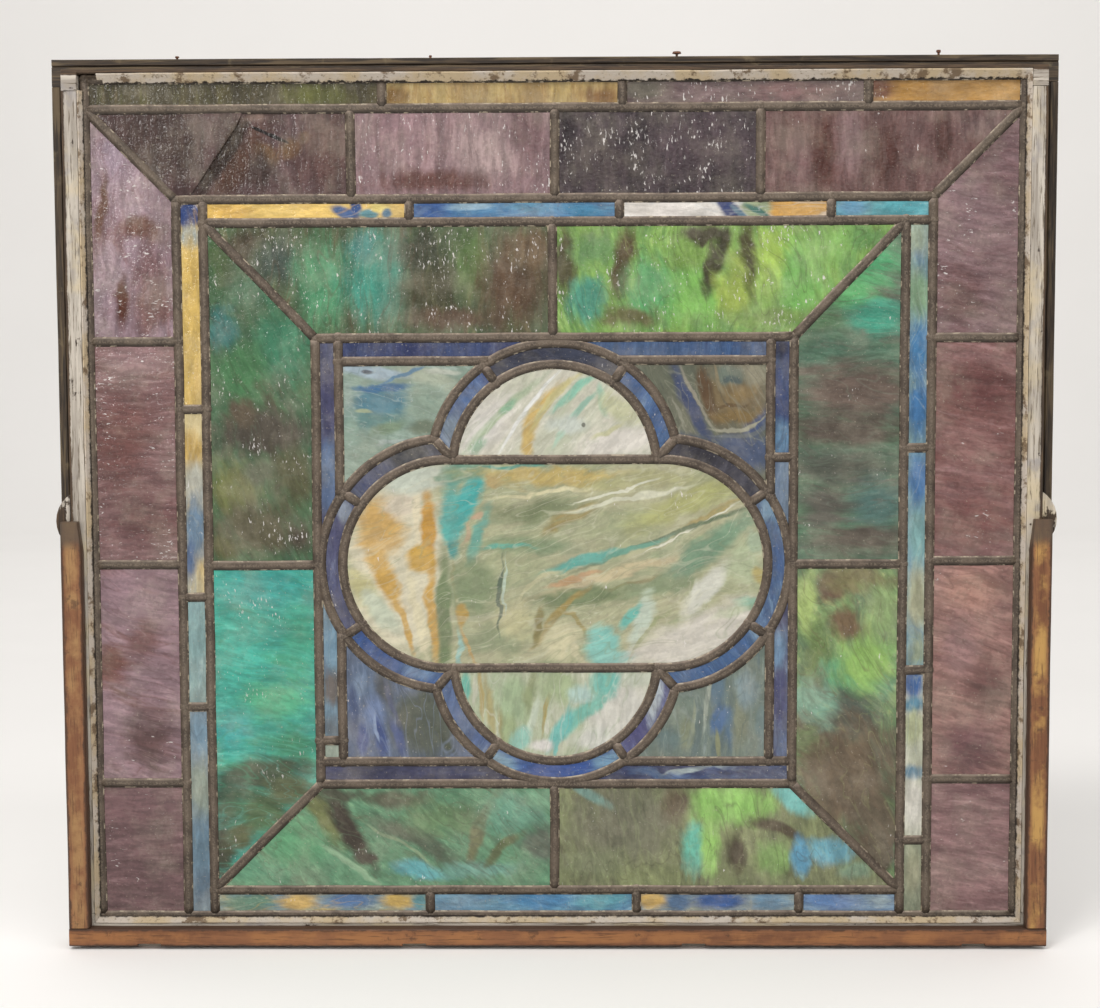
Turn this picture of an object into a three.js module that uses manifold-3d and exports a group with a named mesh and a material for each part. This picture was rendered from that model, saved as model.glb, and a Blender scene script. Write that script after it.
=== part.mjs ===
// Leaded stained glass light in a centre-pivot timber sash.
// Millimetres, +Z up, +X to the right seen from the front, the front faces -Y.
// The origin is the centre of the underside of the sash, where it sits on its sill.

import * as THREE from 'three';
import { mergeVertices } from 'three/addons/utils/BufferGeometryUtils.js';
import Module from 'manifold-3d';

const wasm = await Module();
wasm.setup();
const { Manifold } = wasm;

// Sash
const sashWidth = 945;
const sashHeight = 858.5;
const sashThickness = 34;
const stileWidth = 25;
const topRailHeight = 20.5;
const bottomRailHeight = 33;

// Rebate for the glazing, cut in the front of the sash
const rebateDepth = 15;
const stileLipWidth = 10;
const topLipHeight = 17;
const bottomLipHeight = 10;

// Leaded panel
const panelClearance = 1;
const leadWidth = 9.5;
const leadCrownWidth = 5.5;
const leadThickness = 7;
const heartThickness = 1.6;
const glassThickness = 3;
const glassEdgePlay = 0.4;
const glassFacePlay = 0.3;
const beddingGap = 0.5;

// Bands of the design, measured between lead centre lines, from the border inwards
const topStripHeight = 28.5;
const purpleBandWidth = 86.25;
const sideRibbonWidth = 26;
const topRibbonHeight = 22.5;
const bottomRibbonHeight = 25.5;
const greenSideWidth = 107;
const greenTopHeight = 111.5;
const greenBottomHeight = 106.75;
const blueStripWidth = 22.5;

// Pieces of each row, as widths that share the length of the row between them
const topStripPieces = [286.5, 231.8, 235.7, 149.5];
const purpleTopPieces = [256, 197, 198, 252.7];
const purpleLeftPieces = [223, 218, 217.3, 133.7];
const purpleRightPieces = [222, 217, 216.3, 136.7];
const ribbonTopPieces = [199.6, 203.2, 204.1, 98];
const ribbonLeftPieces = [202.6, 184.7, 108.9, 209.6];
const ribbonRightPieces = [220, 218, 169.8, 75.5];
const ribbonBottomPieces = [214.5, 204.4, 160.8, 99.3];
const greenTopPieces = [338, 341];
const greenSidePieces = [333, 324];
const blueRightFirstPiece = 117.3;
const blueLeftLastPiece = 21;

// Quatrefoil: two end lobes joined by flat leads, and a lobe above and below
const endLobeRadius = 102.5;
const capLobeRadius = 99.5;
const ringWidth = 21;
const ringSideGap = 3.5;
const ringEndGap = 3.75;
const quatrefoilLowering = 1.5;
const ringJointAngle = 35;
const stripTailLength = 30;
const curveSides = 28;

// Putty around the panel
const sidePuttyWidth = 5;
const topPuttyWidth = 9.5;
const bottomPuttyWidth = 6;
const puttyCrest = 1.2;

// Stop beads, nailed to the front of the lower half and to the back of the upper half
const frontBeadWidth = 20.5;
const frontBeadOverhang = 8;
const backBeadWidth = 26;
const backBeadOverhang = 17;
const topBeadOverhang = 13.5;
const beadThickness = 11.7;
const beadRounding = 2.5;
const bottomBeadRaise = 3;
const bottomBeadHeight = 18;
const beadSplay = 4;
const beadSplayLength = 30;
const beadGrooveWidth = 2.4;
const beadGrooveDepth = 1.8;
const pivotHeight = 423.5;

// Weep notches under the bottom bead, placed by shares of the sash width
const weepPlaces = [-0.425, -0.148, 0.143, 0.433];
const weepWidth = 23;
const weepHeight = 3;

// Pivot blocks on the edges of the sash
const pivotBlockHeight = 52;
const pivotBlockReach = 14;

// Nails left standing in the top bead, placed by shares of the sash width
const nailPlaces = [-0.389, -0.127, 0.127, 0.396];
const nailHeights = [3, 2.6, 4.8, 5];
const nailHeadRadii = [2.2, 1.6, 4.6, 2.4];
const nailShankRadius = 1.2;

// Lost putty at the top left corner
const lostPuttyLength = 24;
const lostPuttyStep = 5.5;
const lostPuttyDrop = 16;

// Split in the broken piece of glass: its tip, measured from the band's lower outer corner, and its outline
const splitTipAcross = 146;
const splitTipRise = 70;
const splitOutline = [[0, 0], [-24, -29], [-47, -60], [-8, -26], [7, -11]];
const splitDepth = 2;

// Gap between touching pieces
const fitGap = 0.3;

// Depth planes, worked out from the sizes above
const frontFace = -sashThickness / 2;
const backFace = sashThickness / 2;
const rebateFloor = frontFace + rebateDepth;
const panelPlane = rebateFloor - beddingGap - leadThickness / 2;
const panelFront = panelPlane - leadThickness / 2;
const panelBack = panelPlane + leadThickness / 2;
const glassFront = panelPlane - glassThickness / 2;
const glassBack = panelPlane + glassThickness / 2;
const leafFront = glassFront - glassFacePlay;
const leafBack = glassBack + glassFacePlay;

// Outlines seen from the front
const sashRight = sashWidth / 2;
const rebateRight = sashRight - stileWidth + stileLipWidth;
const rebateTop = sashHeight - topRailHeight + topLipHeight;
const rebateBottom = bottomRailHeight - bottomLipHeight;
const panelRight = rebateRight - panelClearance;
const panelTop = rebateTop - panelClearance;
const panelBottom = rebateBottom + panelClearance;

// Lead centre lines
const borderRight = panelRight - leadWidth / 2;
const borderTop = panelTop - leadWidth / 2;
const borderBottom = panelBottom + leadWidth / 2;
const purpleTop = borderTop - topStripHeight;
const ribbonRight = borderRight - purpleBandWidth;
const ribbonTop = purpleTop - purpleBandWidth;
const greenRight = ribbonRight - sideRibbonWidth;
const greenTop = ribbonTop - topRibbonHeight;
const greenBottom = borderBottom + bottomRibbonHeight;
const squareRight = greenRight - greenSideWidth;
const squareTop = greenTop - greenTopHeight;
const squareBottom = greenBottom + greenBottomHeight;
const fieldRight = squareRight - blueStripWidth;
const fieldTop = squareTop - blueStripWidth;
const fieldBottom = squareBottom + blueStripWidth;
const lobeCentreZ = (squareTop + squareBottom) / 2 - quatrefoilLowering;
const endLobeSpread = squareRight - ringSideGap - ringWidth - endLobeRadius;
const capLobeRise = (squareTop - squareBottom) / 2 - ringEndGap - ringWidth - capLobeRadius;
const flatTop = lobeCentreZ + endLobeRadius;
const flatBottom = lobeCentreZ - endLobeRadius;

// The mitre insets of each level of the lead
const heartInset = heartThickness / 2;
const glassInset = heartInset + glassEdgePlay;
const leafInset = leadWidth / 2;
const crownInset = leadCrownWidth / 2;

// Solids

// Turns a closed three.js geometry into a solid
function solidFrom(geometry) {
  const bare = geometry.index ? geometry.toNonIndexed() : geometry.clone();
  bare.deleteAttribute('normal');
  bare.deleteAttribute('uv');
  const merged = mergeVertices(bare, 1e-4);
  const vertProperties = new Float32Array(merged.attributes.position.array);
  const triVerts = new Uint32Array(merged.index.array);
  return new Manifold(new wasm.Mesh({ numProp: 3, vertProperties, triVerts }));
}

// Turns a solid back into a three.js geometry
function geometryFrom(solid) {
  const { vertProperties, triVerts } = solid.getMesh();
  const geometry = new THREE.BufferGeometry();
  geometry.setAttribute('position', new THREE.BufferAttribute(new Float32Array(vertProperties), 3));
  geometry.setIndex(new THREE.BufferAttribute(new Uint32Array(triVerts), 1));
  geometry.computeVertexNormals();
  return geometry;
}

// A straight block between two corners
function block(x0, y0, z0, x1, y1, z1) {
  const geometry = new THREE.BoxGeometry(x1 - x0, y1 - y0, z1 - z0);
  geometry.translate((x0 + x1) / 2, (y0 + y1) / 2, (z0 + z1) / 2);
  return solidFrom(geometry);
}

// An outline drawn as seen from the front, run from its rear plane to its front plane
function plate(points, yRear, yFront) {
  const geometry = new THREE.ExtrudeGeometry(new THREE.Shape(points), {
    depth: yRear - yFront,
    bevelEnabled: false,
  });
  geometry.translate(0, 0, -yRear);
  geometry.rotateX(Math.PI / 2);
  return solidFrom(geometry);
}

// A plate whose outline changes evenly from the rear plane to the front plane
function taperedPlate(rearPoints, frontPoints, yRear, yFront) {
  const depth = yRear - yFront;
  const geometry = new THREE.ExtrudeGeometry(new THREE.Shape(rearPoints), {
    depth,
    bevelEnabled: false,
  });
  const position = geometry.attributes.position;
  for (let i = 0; i < position.count; i++) {
    if (position.getZ(i) < depth / 2) continue;
    const at = new THREE.Vector2(position.getX(i), position.getY(i));
    const k = rearPoints.findIndex((p) => p.distanceTo(at) < 1e-3);
    position.setXY(i, frontPoints[k].x, frontPoints[k].y);
  }
  geometry.translate(0, 0, -yRear);
  geometry.rotateX(Math.PI / 2);
  return solidFrom(geometry);
}

// A round disc or cone standing on the panel, seen from the front as a circle
function disc(x, z, rearRadius, frontRadius, yRear, yFront) {
  const geometry = new THREE.CylinderGeometry(rearRadius, frontRadius, yRear - yFront, curveSides);
  geometry.translate(0, (yRear + yFront) / 2, 0);
  geometry.translate(x, 0, z);
  return solidFrom(geometry);
}

// Moves each side of a convex outline inwards by the same distance
function insetOutline(points, distance) {
  const count = points.length;
  const lines = points.map((p, i) => {
    const q = points[(i + 1) % count];
    const along = q.clone().sub(p).normalize();
    const inward = new THREE.Vector2(-along.y, along.x);
    return { from: p.clone().addScaledVector(inward, distance), along };
  });
  return lines.map((line, i) => {
    const before = lines[(i + count - 1) % count];
    const offset = line.from.clone().sub(before.from);
    const t = offset.cross(line.along) / before.along.cross(line.along);
    return before.from.clone().addScaledVector(before.along, t);
  });
}

// Corners of an upright rectangle, counter-clockwise seen from the front
function rectangle(x0, z0, x1, z1) {
  return [
    new THREE.Vector2(x0, z0),
    new THREE.Vector2(x1, z0),
    new THREE.Vector2(x1, z1),
    new THREE.Vector2(x0, z1),
  ];
}

// Corners given as pairs of x and z
function outline(...pairs) {
  return pairs.map(([x, z]) => new THREE.Vector2(x, z));
}

// The joints of a row: its pieces share the length between its two ends
function jointsOf(pieces, from, to) {
  const total = pieces.reduce((sum, piece) => sum + piece, 0);
  const joints = [from];
  let run = 0;
  for (const piece of pieces) {
    run += piece;
    joints.push(from + ((to - from) * run) / total);
  }
  return joints;
}

// Quatrefoil lobes
const lobes = [
  { x: -endLobeSpread, z: lobeCentreZ, radius: endLobeRadius, axis: 180 },
  { x: endLobeSpread, z: lobeCentreZ, radius: endLobeRadius, axis: 0 },
  { x: 0, z: lobeCentreZ + capLobeRise, radius: capLobeRadius, axis: 90 },
  { x: 0, z: lobeCentreZ - capLobeRise, radius: capLobeRadius, axis: 270 },
];
const [leftLobe, rightLobe, topLobe, bottomLobe] = lobes;

// The four lobes and the flats between the end lobes, grown by one amount behind and another in front
function lobeUnion(growth, rearExtra, frontExtra, yRear, yFront) {
  const discs = lobes.map((lobe) =>
    disc(lobe.x, lobe.z, lobe.radius + growth + rearExtra, lobe.radius + growth + frontExtra, yRear, yFront));
  const rear = endLobeRadius + growth + rearExtra;
  const front = endLobeRadius + growth + frontExtra;
  const flats = taperedPlate(
    rectangle(-endLobeSpread, lobeCentreZ - rear, endLobeSpread, lobeCentreZ + rear),
    rectangle(-endLobeSpread, lobeCentreZ - front, endLobeSpread, lobeCentreZ + front),
    yRear,
    yFront,
  );
  return discs.reduce((sum, next) => sum.add(next), flats);
}

// Where the circles of two lobes cross, on the side away from the centre
function lobeCrossing(a, b, growth) {
  const from = new THREE.Vector2(a.x, a.z);
  const to = new THREE.Vector2(b.x, b.z);
  const span = to.clone().sub(from);
  const apart = span.length();
  span.normalize();
  const ra = a.radius + growth;
  const rb = b.radius + growth;
  const along = (apart * apart + ra * ra - rb * rb) / (2 * apart);
  const aside = Math.sqrt(Math.max(ra * ra - along * along, 0));
  const foot = from.addScaledVector(span, along);
  const normal = new THREE.Vector2(-span.y, span.x);
  const centre = new THREE.Vector2(0, lobeCentreZ);
  const ends = [foot.clone().addScaledVector(normal, aside), foot.clone().addScaledVector(normal, -aside)];
  return ends[0].distanceTo(centre) > ends[1].distanceTo(centre) ? ends[0] : ends[1];
}

// Outline of one piece of the ring: a wedge between two joints
function ringWedges(lobe, before, after) {
  const centre = new THREE.Vector2(lobe.x, lobe.z);
  const reach = 2 * (lobe.radius + ringWidth);
  const ray = (degrees) => {
    const angle = THREE.MathUtils.degToRad(degrees);
    return centre.clone().add(new THREE.Vector2(Math.cos(angle), Math.sin(angle)).multiplyScalar(reach));
  };
  const innerBefore = lobeCrossing(lobe, before, 0);
  const innerAfter = lobeCrossing(lobe, after, 0);
  const beyond = (inner, neighbour) => {
    const outer = lobeCrossing(lobe, neighbour, ringWidth);
    return inner.clone().add(outer.sub(inner).multiplyScalar(reach / ringWidth / 3));
  };
  const low = ray(lobe.axis - ringJointAngle);
  const high = ray(lobe.axis + ringJointAngle);
  return [
    [centre, innerBefore, beyond(innerBefore, before), low],
    [centre, low, high],
    [centre, high, beyond(innerAfter, after), innerAfter],
  ];
}

// Glass pieces
// kind: what the straight outline is cut by. plain: nothing. field: stays outside the ring.
// ring: only what lies in the ring. centre: only what lies inside the ring.
const cells = [];

function cell(name, points, finish, kind = 'plain', fused = null) {
  cells.push({ name, points, finish, kind, fused });
}

// Row across the top
jointsOf(topStripPieces, -borderRight, borderRight).forEach((x, i, joints) => {
  if (i === 0) return;
  const finish = ['olive', 'amber', 'purple', 'amber'][i - 1];
  cell(`glass_top_strip_${i}`, rectangle(joints[i - 1], purpleTop, x, borderTop), finish);
});

// Purple band, with mitred upper corners
function purpleBand() {
  const joints = jointsOf(purpleTopPieces, -borderRight, borderRight);
  for (let i = 1; i < joints.length; i++) {
    const lowLeft = i === 1 ? -ribbonRight : joints[i - 1];
    const lowRight = i === joints.length - 1 ? ribbonRight : joints[i];
    const points = outline([lowLeft, ribbonTop], [lowRight, ribbonTop], [joints[i], purpleTop],
      [joints[i - 1], purpleTop]);
    cell(`glass_purple_top_${i}`, points, 'purple');
  }
  for (const side of [-1, 1]) {
    const name = side < 0 ? 'left' : 'right';
    const pieces = side < 0 ? purpleLeftPieces : purpleRightPieces;
    const levels = jointsOf(pieces, purpleTop, borderBottom);
    for (let i = 1; i < levels.length; i++) {
      const innerTop = i === 1 ? ribbonTop : levels[i - 1];
      const outer = [[side * borderRight, levels[i]], [side * borderRight, levels[i - 1]]];
      const inner = [[side * ribbonRight, innerTop], [side * ribbonRight, levels[i]]];
      const left = [inner[1], inner[0], outer[1], outer[0]];
      const right = [outer[0], outer[1], inner[0], inner[1]];
      const turn = side < 0 ? left : right;
      cell(`glass_purple_${name}_${i}`, outline(...turn), 'purple');
    }
  }
}
purpleBand();

// Narrow ribbons inside the purple band
function ribbonRow(name, joints, place) {
  for (let i = 1; i < joints.length; i++) {
    cell(`${name}_${i}`, place(joints[i - 1], joints[i]), 'ribbon', 'plain', name);
  }
}
ribbonRow('glass_ribbon_left', jointsOf(ribbonLeftPieces, ribbonTop, borderBottom), (high, low) =>
  rectangle(-ribbonRight, low, -greenRight, high));
ribbonRow('glass_ribbon_top', jointsOf(ribbonTopPieces, -greenRight, ribbonRight), (from, to) =>
  rectangle(from, greenTop, to, ribbonTop));
ribbonRow('glass_ribbon_right', jointsOf(ribbonRightPieces, greenTop, borderBottom), (high, low) =>
  rectangle(greenRight, low, ribbonRight, high));
ribbonRow('glass_ribbon_bottom', jointsOf(ribbonBottomPieces, -greenRight, greenRight), (from, to) =>
  rectangle(from, borderBottom, to, greenBottom));

// Green band, with mitred corners
function greenBand() {
  const midTop = jointsOf(greenTopPieces, -greenRight, greenRight)[1];
  const midSide = jointsOf(greenSidePieces, greenTop, greenBottom)[1];
  const g = greenRight;
  const s = squareRight;
  const bands = {
    top_left: [[-s, squareTop], [midTop, squareTop], [midTop, greenTop], [-g, greenTop]],
    top_right: [[midTop, squareTop], [s, squareTop], [g, greenTop], [midTop, greenTop]],
    right_upper: [[s, midSide], [g, midSide], [g, greenTop], [s, squareTop]],
    right_lower: [[s, squareBottom], [g, greenBottom], [g, midSide], [s, midSide]],
    bottom_right: [[midTop, greenBottom], [g, greenBottom], [s, squareBottom], [midTop, squareBottom]],
    bottom_left: [[-g, greenBottom], [midTop, greenBottom], [midTop, squareBottom], [-s, squareBottom]],
    left_lower: [[-g, greenBottom], [-s, squareBottom], [-s, midSide], [-g, midSide]],
    left_upper: [[-g, midSide], [-s, midSide], [-s, squareTop], [-g, greenTop]],
  };
  for (const [place, pairs] of Object.entries(bands)) {
    cell(`glass_green_${place}`, outline(...pairs), 'green');
  }
}
greenBand();

// Blue strips in the corners of the square, cut back where the ring swells over them
function blueStrips() {
  const upperTail = lobeCentreZ + stripTailLength;
  const lowerTail = lobeCentreZ - stripTailLength;
  const tail = stripTailLength;
  const rightJoint = squareTop - blueRightFirstPiece;
  const leftJoint = fieldBottom + blueLeftLastPiece;
  const strips = [
    ['top_left', 1, rectangle(-squareRight, upperTail, -fieldRight, squareTop)],
    ['top_left', 2, rectangle(-fieldRight, fieldTop, -tail, squareTop)],
    ['top_right', 1, rectangle(tail, fieldTop, fieldRight, squareTop)],
    ['top_right', 2, rectangle(fieldRight, rightJoint, squareRight, squareTop)],
    ['top_right', 3, rectangle(fieldRight, upperTail, squareRight, rightJoint)],
    ['bottom_right', 1, rectangle(fieldRight, fieldBottom, squareRight, lowerTail)],
    ['bottom_right', 2, rectangle(tail, squareBottom, squareRight, fieldBottom)],
    ['bottom_left', 1, rectangle(-squareRight, squareBottom, -tail, fieldBottom)],
    ['bottom_left', 2, rectangle(-squareRight, fieldBottom, -fieldRight, leftJoint)],
    ['bottom_left', 3, rectangle(-squareRight, leftJoint, -fieldRight, lowerTail)],
  ];
  for (const [corner, i, points] of strips) {
    cell(`glass_blue_${corner}_${i}`, points, 'blue', 'field', `glass_blue_${corner}`);
  }
}
blueStrips();

// Field pieces in the four corners around the quatrefoil
cell('glass_field_top_left', rectangle(-fieldRight, lobeCentreZ, 0, fieldTop), 'field', 'field');
cell('glass_field_top_right', rectangle(0, lobeCentreZ, fieldRight, fieldTop), 'field', 'field');
cell('glass_field_bottom_left', rectangle(-fieldRight, fieldBottom, 0, lobeCentreZ), 'field', 'field');
cell('glass_field_bottom_right', rectangle(0, fieldBottom, fieldRight, lobeCentreZ), 'field', 'field');

// Ring of twelve pieces
[
  [rightLobe, bottomLobe, topLobe],
  [topLobe, rightLobe, leftLobe],
  [leftLobe, topLobe, bottomLobe],
  [bottomLobe, leftLobe, rightLobe],
].forEach(([lobe, before, after], n) => {
  ringWedges(lobe, before, after).forEach((points, i) => {
    cell(`glass_ring_${3 * n + i + 1}`, points, 'blue', 'ring', 'glass_ring');
  });
});

// Three pieces inside the ring
const farRight = endLobeSpread + endLobeRadius + ringWidth;
const farTop = lobeCentreZ + capLobeRise + capLobeRadius + ringWidth;
const farBottom = lobeCentreZ - capLobeRise - capLobeRadius - ringWidth;
cell('glass_centre_top', rectangle(-farRight, flatTop, farRight, farTop), 'centre', 'centre');
cell('glass_centre_middle', rectangle(-farRight, flatBottom, farRight, flatTop), 'centre', 'centre');
cell('glass_centre_bottom', rectangle(-farRight, farBottom, farRight, flatBottom), 'centre', 'centre');

// The solid of one cell between two planes, drawn in from its lead centre lines
function cellSolid({ points, kind }, rearInset, frontInset, yRear, yFront) {
  const rearOutline = insetOutline(points, rearInset);
  const straight = taperedPlate(rearOutline, insetOutline(points, frontInset), yRear, yFront);
  if (kind === 'plain') return straight;
  if (kind === 'field') return straight.subtract(lobeUnion(ringWidth, rearInset, frontInset, yRear, yFront));
  if (kind === 'centre') return straight.intersect(lobeUnion(0, -rearInset, -frontInset, yRear, yFront));
  const outer = lobeUnion(ringWidth, -rearInset, -frontInset, yRear, yFront);
  const inner = lobeUnion(0, rearInset, frontInset, yRear, yFront);
  return straight.intersect(outer.subtract(inner));
}

function joined(solids) {
  return solids.reduce((sum, next) => sum.add(next));
}

// Cells that one long piece of glass fills without a heart between them
const runs = {
  glass_ribbon_left: [rectangle(-ribbonRight, borderBottom, -greenRight, ribbonTop)],
  glass_ribbon_top: [rectangle(-greenRight, greenTop, ribbonRight, ribbonTop)],
  glass_ribbon_right: [rectangle(greenRight, borderBottom, ribbonRight, greenTop)],
  glass_ribbon_bottom: [rectangle(-greenRight, borderBottom, greenRight, greenBottom)],
  glass_blue_top_left: [
    rectangle(-squareRight, lobeCentreZ + stripTailLength, -fieldRight, squareTop),
    rectangle(-squareRight, fieldTop, -stripTailLength, squareTop),
  ],
  glass_blue_top_right: [
    rectangle(fieldRight, lobeCentreZ + stripTailLength, squareRight, squareTop),
    rectangle(stripTailLength, fieldTop, squareRight, squareTop),
  ],
  glass_blue_bottom_right: [
    rectangle(fieldRight, squareBottom, squareRight, lobeCentreZ - stripTailLength),
    rectangle(stripTailLength, squareBottom, squareRight, fieldBottom),
  ],
  glass_blue_bottom_left: [
    rectangle(-squareRight, squareBottom, -fieldRight, lobeCentreZ - stripTailLength),
    rectangle(-squareRight, squareBottom, -stripTailLength, fieldBottom),
  ],
};

// Glass as it is laid: single cells, and the long runs
function glassRuns(inset, yRear, yFront) {
  const laid = [];
  for (const each of cells.filter((c) => !c.fused)) {
    laid.push({ name: each.name, finish: each.finish, solid: cellSolid(each, inset, inset, yRear, yFront) });
  }
  for (const [name, outlines] of Object.entries(runs)) {
    const sample = cells.find((c) => c.fused === name);
    const parts = outlines.map((points) =>
      cellSolid({ points, kind: sample.kind }, inset, inset, yRear, yFront));
    laid.push({ name, finish: sample.finish, solid: joined(parts) });
  }
  const outer = lobeUnion(ringWidth, -inset, -inset, yRear, yFront);
  const inner = lobeUnion(0, inset, inset, yRear, yFront);
  laid.push({ name: 'glass_ring', finish: 'blue', solid: outer.subtract(inner) });
  return laid;
}

// Lead cames, soldered into one net: a front leaf, a heart between the glass, a back leaf
function leadCames() {
  const panel = rectangle(-panelRight, panelBottom, panelRight, panelTop);
  const rim = rectangle(-borderRight, borderBottom, borderRight, borderTop);
  const over = 1;
  const slope = (leafInset - crownInset) / (leafFront - panelFront);
  const past = crownInset - slope * over;
  const deep = leafInset + slope * over;
  const frontHoles = cells.map((c) => cellSolid(c, deep, past, leafFront + over, panelFront - over));
  const backHoles = cells.map((c) => cellSolid(c, past, deep, panelBack + over, leafBack - over));
  const hearts = glassRuns(heartInset, panelBack + over, panelFront - over).map((piece) => piece.solid);
  const frontLeaf = plate(panel, leafFront, panelFront).subtract(joined(frontHoles));
  const backLeaf = plate(panel, panelBack, leafBack).subtract(joined(backHoles));
  const bite = (leafFront - panelFront) / 3;
  const heart = plate(insetOutline(rim, -heartInset), leafBack + bite, leafFront - bite);
  return frontLeaf.add(heart.subtract(joined(hearts))).add(backLeaf);
}

// The split in the first purple piece of the top row, where one half has sunk behind the other
function glassSplit() {
  const tip = new THREE.Vector2(-borderRight + splitTipAcross, ribbonTop + splitTipRise);
  const points = splitOutline.map(([x, z]) => new THREE.Vector2(tip.x + x, tip.y + z));
  return plate(points, glassFront + splitDepth, glassFront - 1);
}

// Timber sash

// A stile: the rebate leaves a lip behind the panel
function sashStile(side) {
  const low = bottomRailHeight + fitGap;
  const high = sashHeight - topRailHeight - fitGap;
  const inner = sashRight - stileWidth;
  const [x0, x1] = side < 0 ? [-sashRight, -inner] : [inner, sashRight];
  const [r0, r1] = side < 0 ? [-rebateRight, -inner + 1] : [inner - 1, rebateRight];
  const body = block(x0, frontFace, low, x1, backFace, high);
  return body.subtract(block(r0, frontFace - 1, low - 1, r1, rebateFloor, high + 1));
}

// A rail runs through at both corners, and the stiles butt against it
function sashRail(low, high, rebateLow, rebateHigh) {
  const body = block(-sashRight, frontFace, low, sashRight, backFace, high);
  return body.subtract(block(-rebateRight, frontFace - 1, rebateLow, rebateRight, rebateFloor, rebateHigh));
}

function topRail() {
  const low = sashHeight - topRailHeight;
  return sashRail(low, sashHeight, low - 1, rebateTop);
}

function bottomRail() {
  return sashRail(0, bottomRailHeight, rebateBottom, bottomRailHeight + 1);
}

// Putty run round the rebate in a slope, with the top left corner fallen out
function glazingPutty() {
  const right = rebateRight - fitGap;
  const top = rebateTop - fitGap;
  const bottom = rebateBottom + fitGap;
  const rear = panelFront - fitGap;
  const ring = plate(rectangle(-right, bottom, right, top), rear, frontFace);
  const foot = rectangle(-right + sidePuttyWidth, bottom + bottomPuttyWidth, right - sidePuttyWidth,
    top - topPuttyWidth);
  const crest = rectangle(-right + puttyCrest, bottom + puttyCrest, right - puttyCrest, top - puttyCrest);
  const over = 1;
  const grow = over / (rear - frontFace);
  const footOver = foot.map((p, i) => p.clone().lerp(crest[i], -grow));
  const crestOver = foot.map((p, i) => p.clone().lerp(crest[i], 1 + grow));
  const opening = taperedPlate(footOver, crestOver, rear + over, frontFace - over);
  const lostTop = top - topPuttyWidth * 0.6;
  const lostLow = top - lostPuttyDrop;
  const lostRight = -right + lostPuttyLength;
  const upper = block(-right - 1, frontFace - 1, lostTop, lostRight - lostPuttyStep, rear + 1, top + 1);
  const lower = block(-right - 1, frontFace - 1, lostLow, lostRight, rear + 1, lostTop);
  return ring.subtract(opening).subtract(upper).subtract(lower);
}

// Stop beads

// Section of a bead laid flat, rounded on its outer face, with an optional groove in its other face
function beadSection(width, grooveAt) {
  const shape = new THREE.Shape();
  const r = beadRounding;
  shape.moveTo(0, 0);
  if (grooveAt !== null) {
    shape.lineTo(grooveAt - beadGrooveWidth / 2, 0);
    shape.lineTo(grooveAt, beadGrooveDepth);
    shape.lineTo(grooveAt + beadGrooveWidth / 2, 0);
  }
  shape.lineTo(width, 0);
  shape.lineTo(width, beadThickness - r);
  shape.quadraticCurveTo(width, beadThickness, width - r, beadThickness);
  shape.lineTo(r, beadThickness);
  shape.quadraticCurveTo(0, beadThickness, 0, beadThickness - r);
  shape.closePath();
  return shape;
}

// A bead of the given section and length, along +Z, its broad face towards +Y
function beadBar(width, length, grooveAt) {
  const geometry = new THREE.ExtrudeGeometry(beadSection(width, grooveAt), {
    depth: length,
    bevelEnabled: false,
    curveSegments: 3,
  });
  return geometry;
}

// A bead standing on the back of the sash, on its left or right edge
function uprightBead(side, width, overhang, grooveAt, low, high) {
  const geometry = beadBar(width, high - low, grooveAt);
  geometry.translate(-sashRight - overhang, backFace + fitGap, low);
  const solid = solidFrom(geometry);
  return side > 0 ? solid.mirror([1, 0, 0]) : solid;
}

// The tool that splays the meeting end of an upright front bead
function splayTool(side, high) {
  const inner = sashRight + frontBeadOverhang - frontBeadWidth;
  const pairs = [[inner - 1, high - beadSplayLength], [inner, high - beadSplayLength],
    [inner + beadSplay, high + 1], [inner - 1, high + 1]];
  const mirrored = pairs.map(([x, z]) => [side * x, z]);
  const points = side > 0 ? outline(...mirrored) : outline(...mirrored.reverse());
  return plate(points, frontFace, frontFace - 2 * beadThickness);
}

function frontBead(side) {
  const low = bottomBeadRaise + bottomBeadHeight + fitGap;
  const solid = uprightBead(side, frontBeadWidth, frontBeadOverhang, null, low, pivotHeight);
  return solid.mirror([0, 1, 0]).subtract(splayTool(side, pivotHeight));
}

function backBead(side) {
  const high = sashHeight + topBeadOverhang - backBeadWidth - fitGap;
  return uprightBead(side, backBeadWidth, backBeadOverhang, backBeadOverhang / 2, pivotHeight, high);
}

// The bottom bead lies across the whole width, notched below to let water out
function bottomBead() {
  const length = sashWidth + 2 * frontBeadOverhang;
  const geometry = beadBar(bottomBeadHeight, length, null);
  geometry.rotateY(-Math.PI / 2);
  geometry.translate(length / 2, backFace + fitGap, bottomBeadRaise);
  let solid = solidFrom(geometry).mirror([0, 1, 0]);
  for (const place of weepPlaces) {
    const x = place * sashWidth;
    solid = solid.subtract(block(x - weepWidth / 2, frontFace - 2 * beadThickness, bottomBeadRaise - 1,
      x + weepWidth / 2, frontFace + 1, bottomBeadRaise + weepHeight));
  }
  return solid;
}

// The top bead laps past the top edge of the sash, its groove in the part that shows
function topBead() {
  const length = sashWidth + 2 * backBeadOverhang;
  const geometry = beadBar(backBeadWidth, length, backBeadWidth - topBeadOverhang / 2);
  geometry.rotateY(-Math.PI / 2);
  geometry.translate(length / 2, backFace + fitGap, sashHeight + topBeadOverhang - backBeadWidth);
  return solidFrom(geometry);
}

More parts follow.
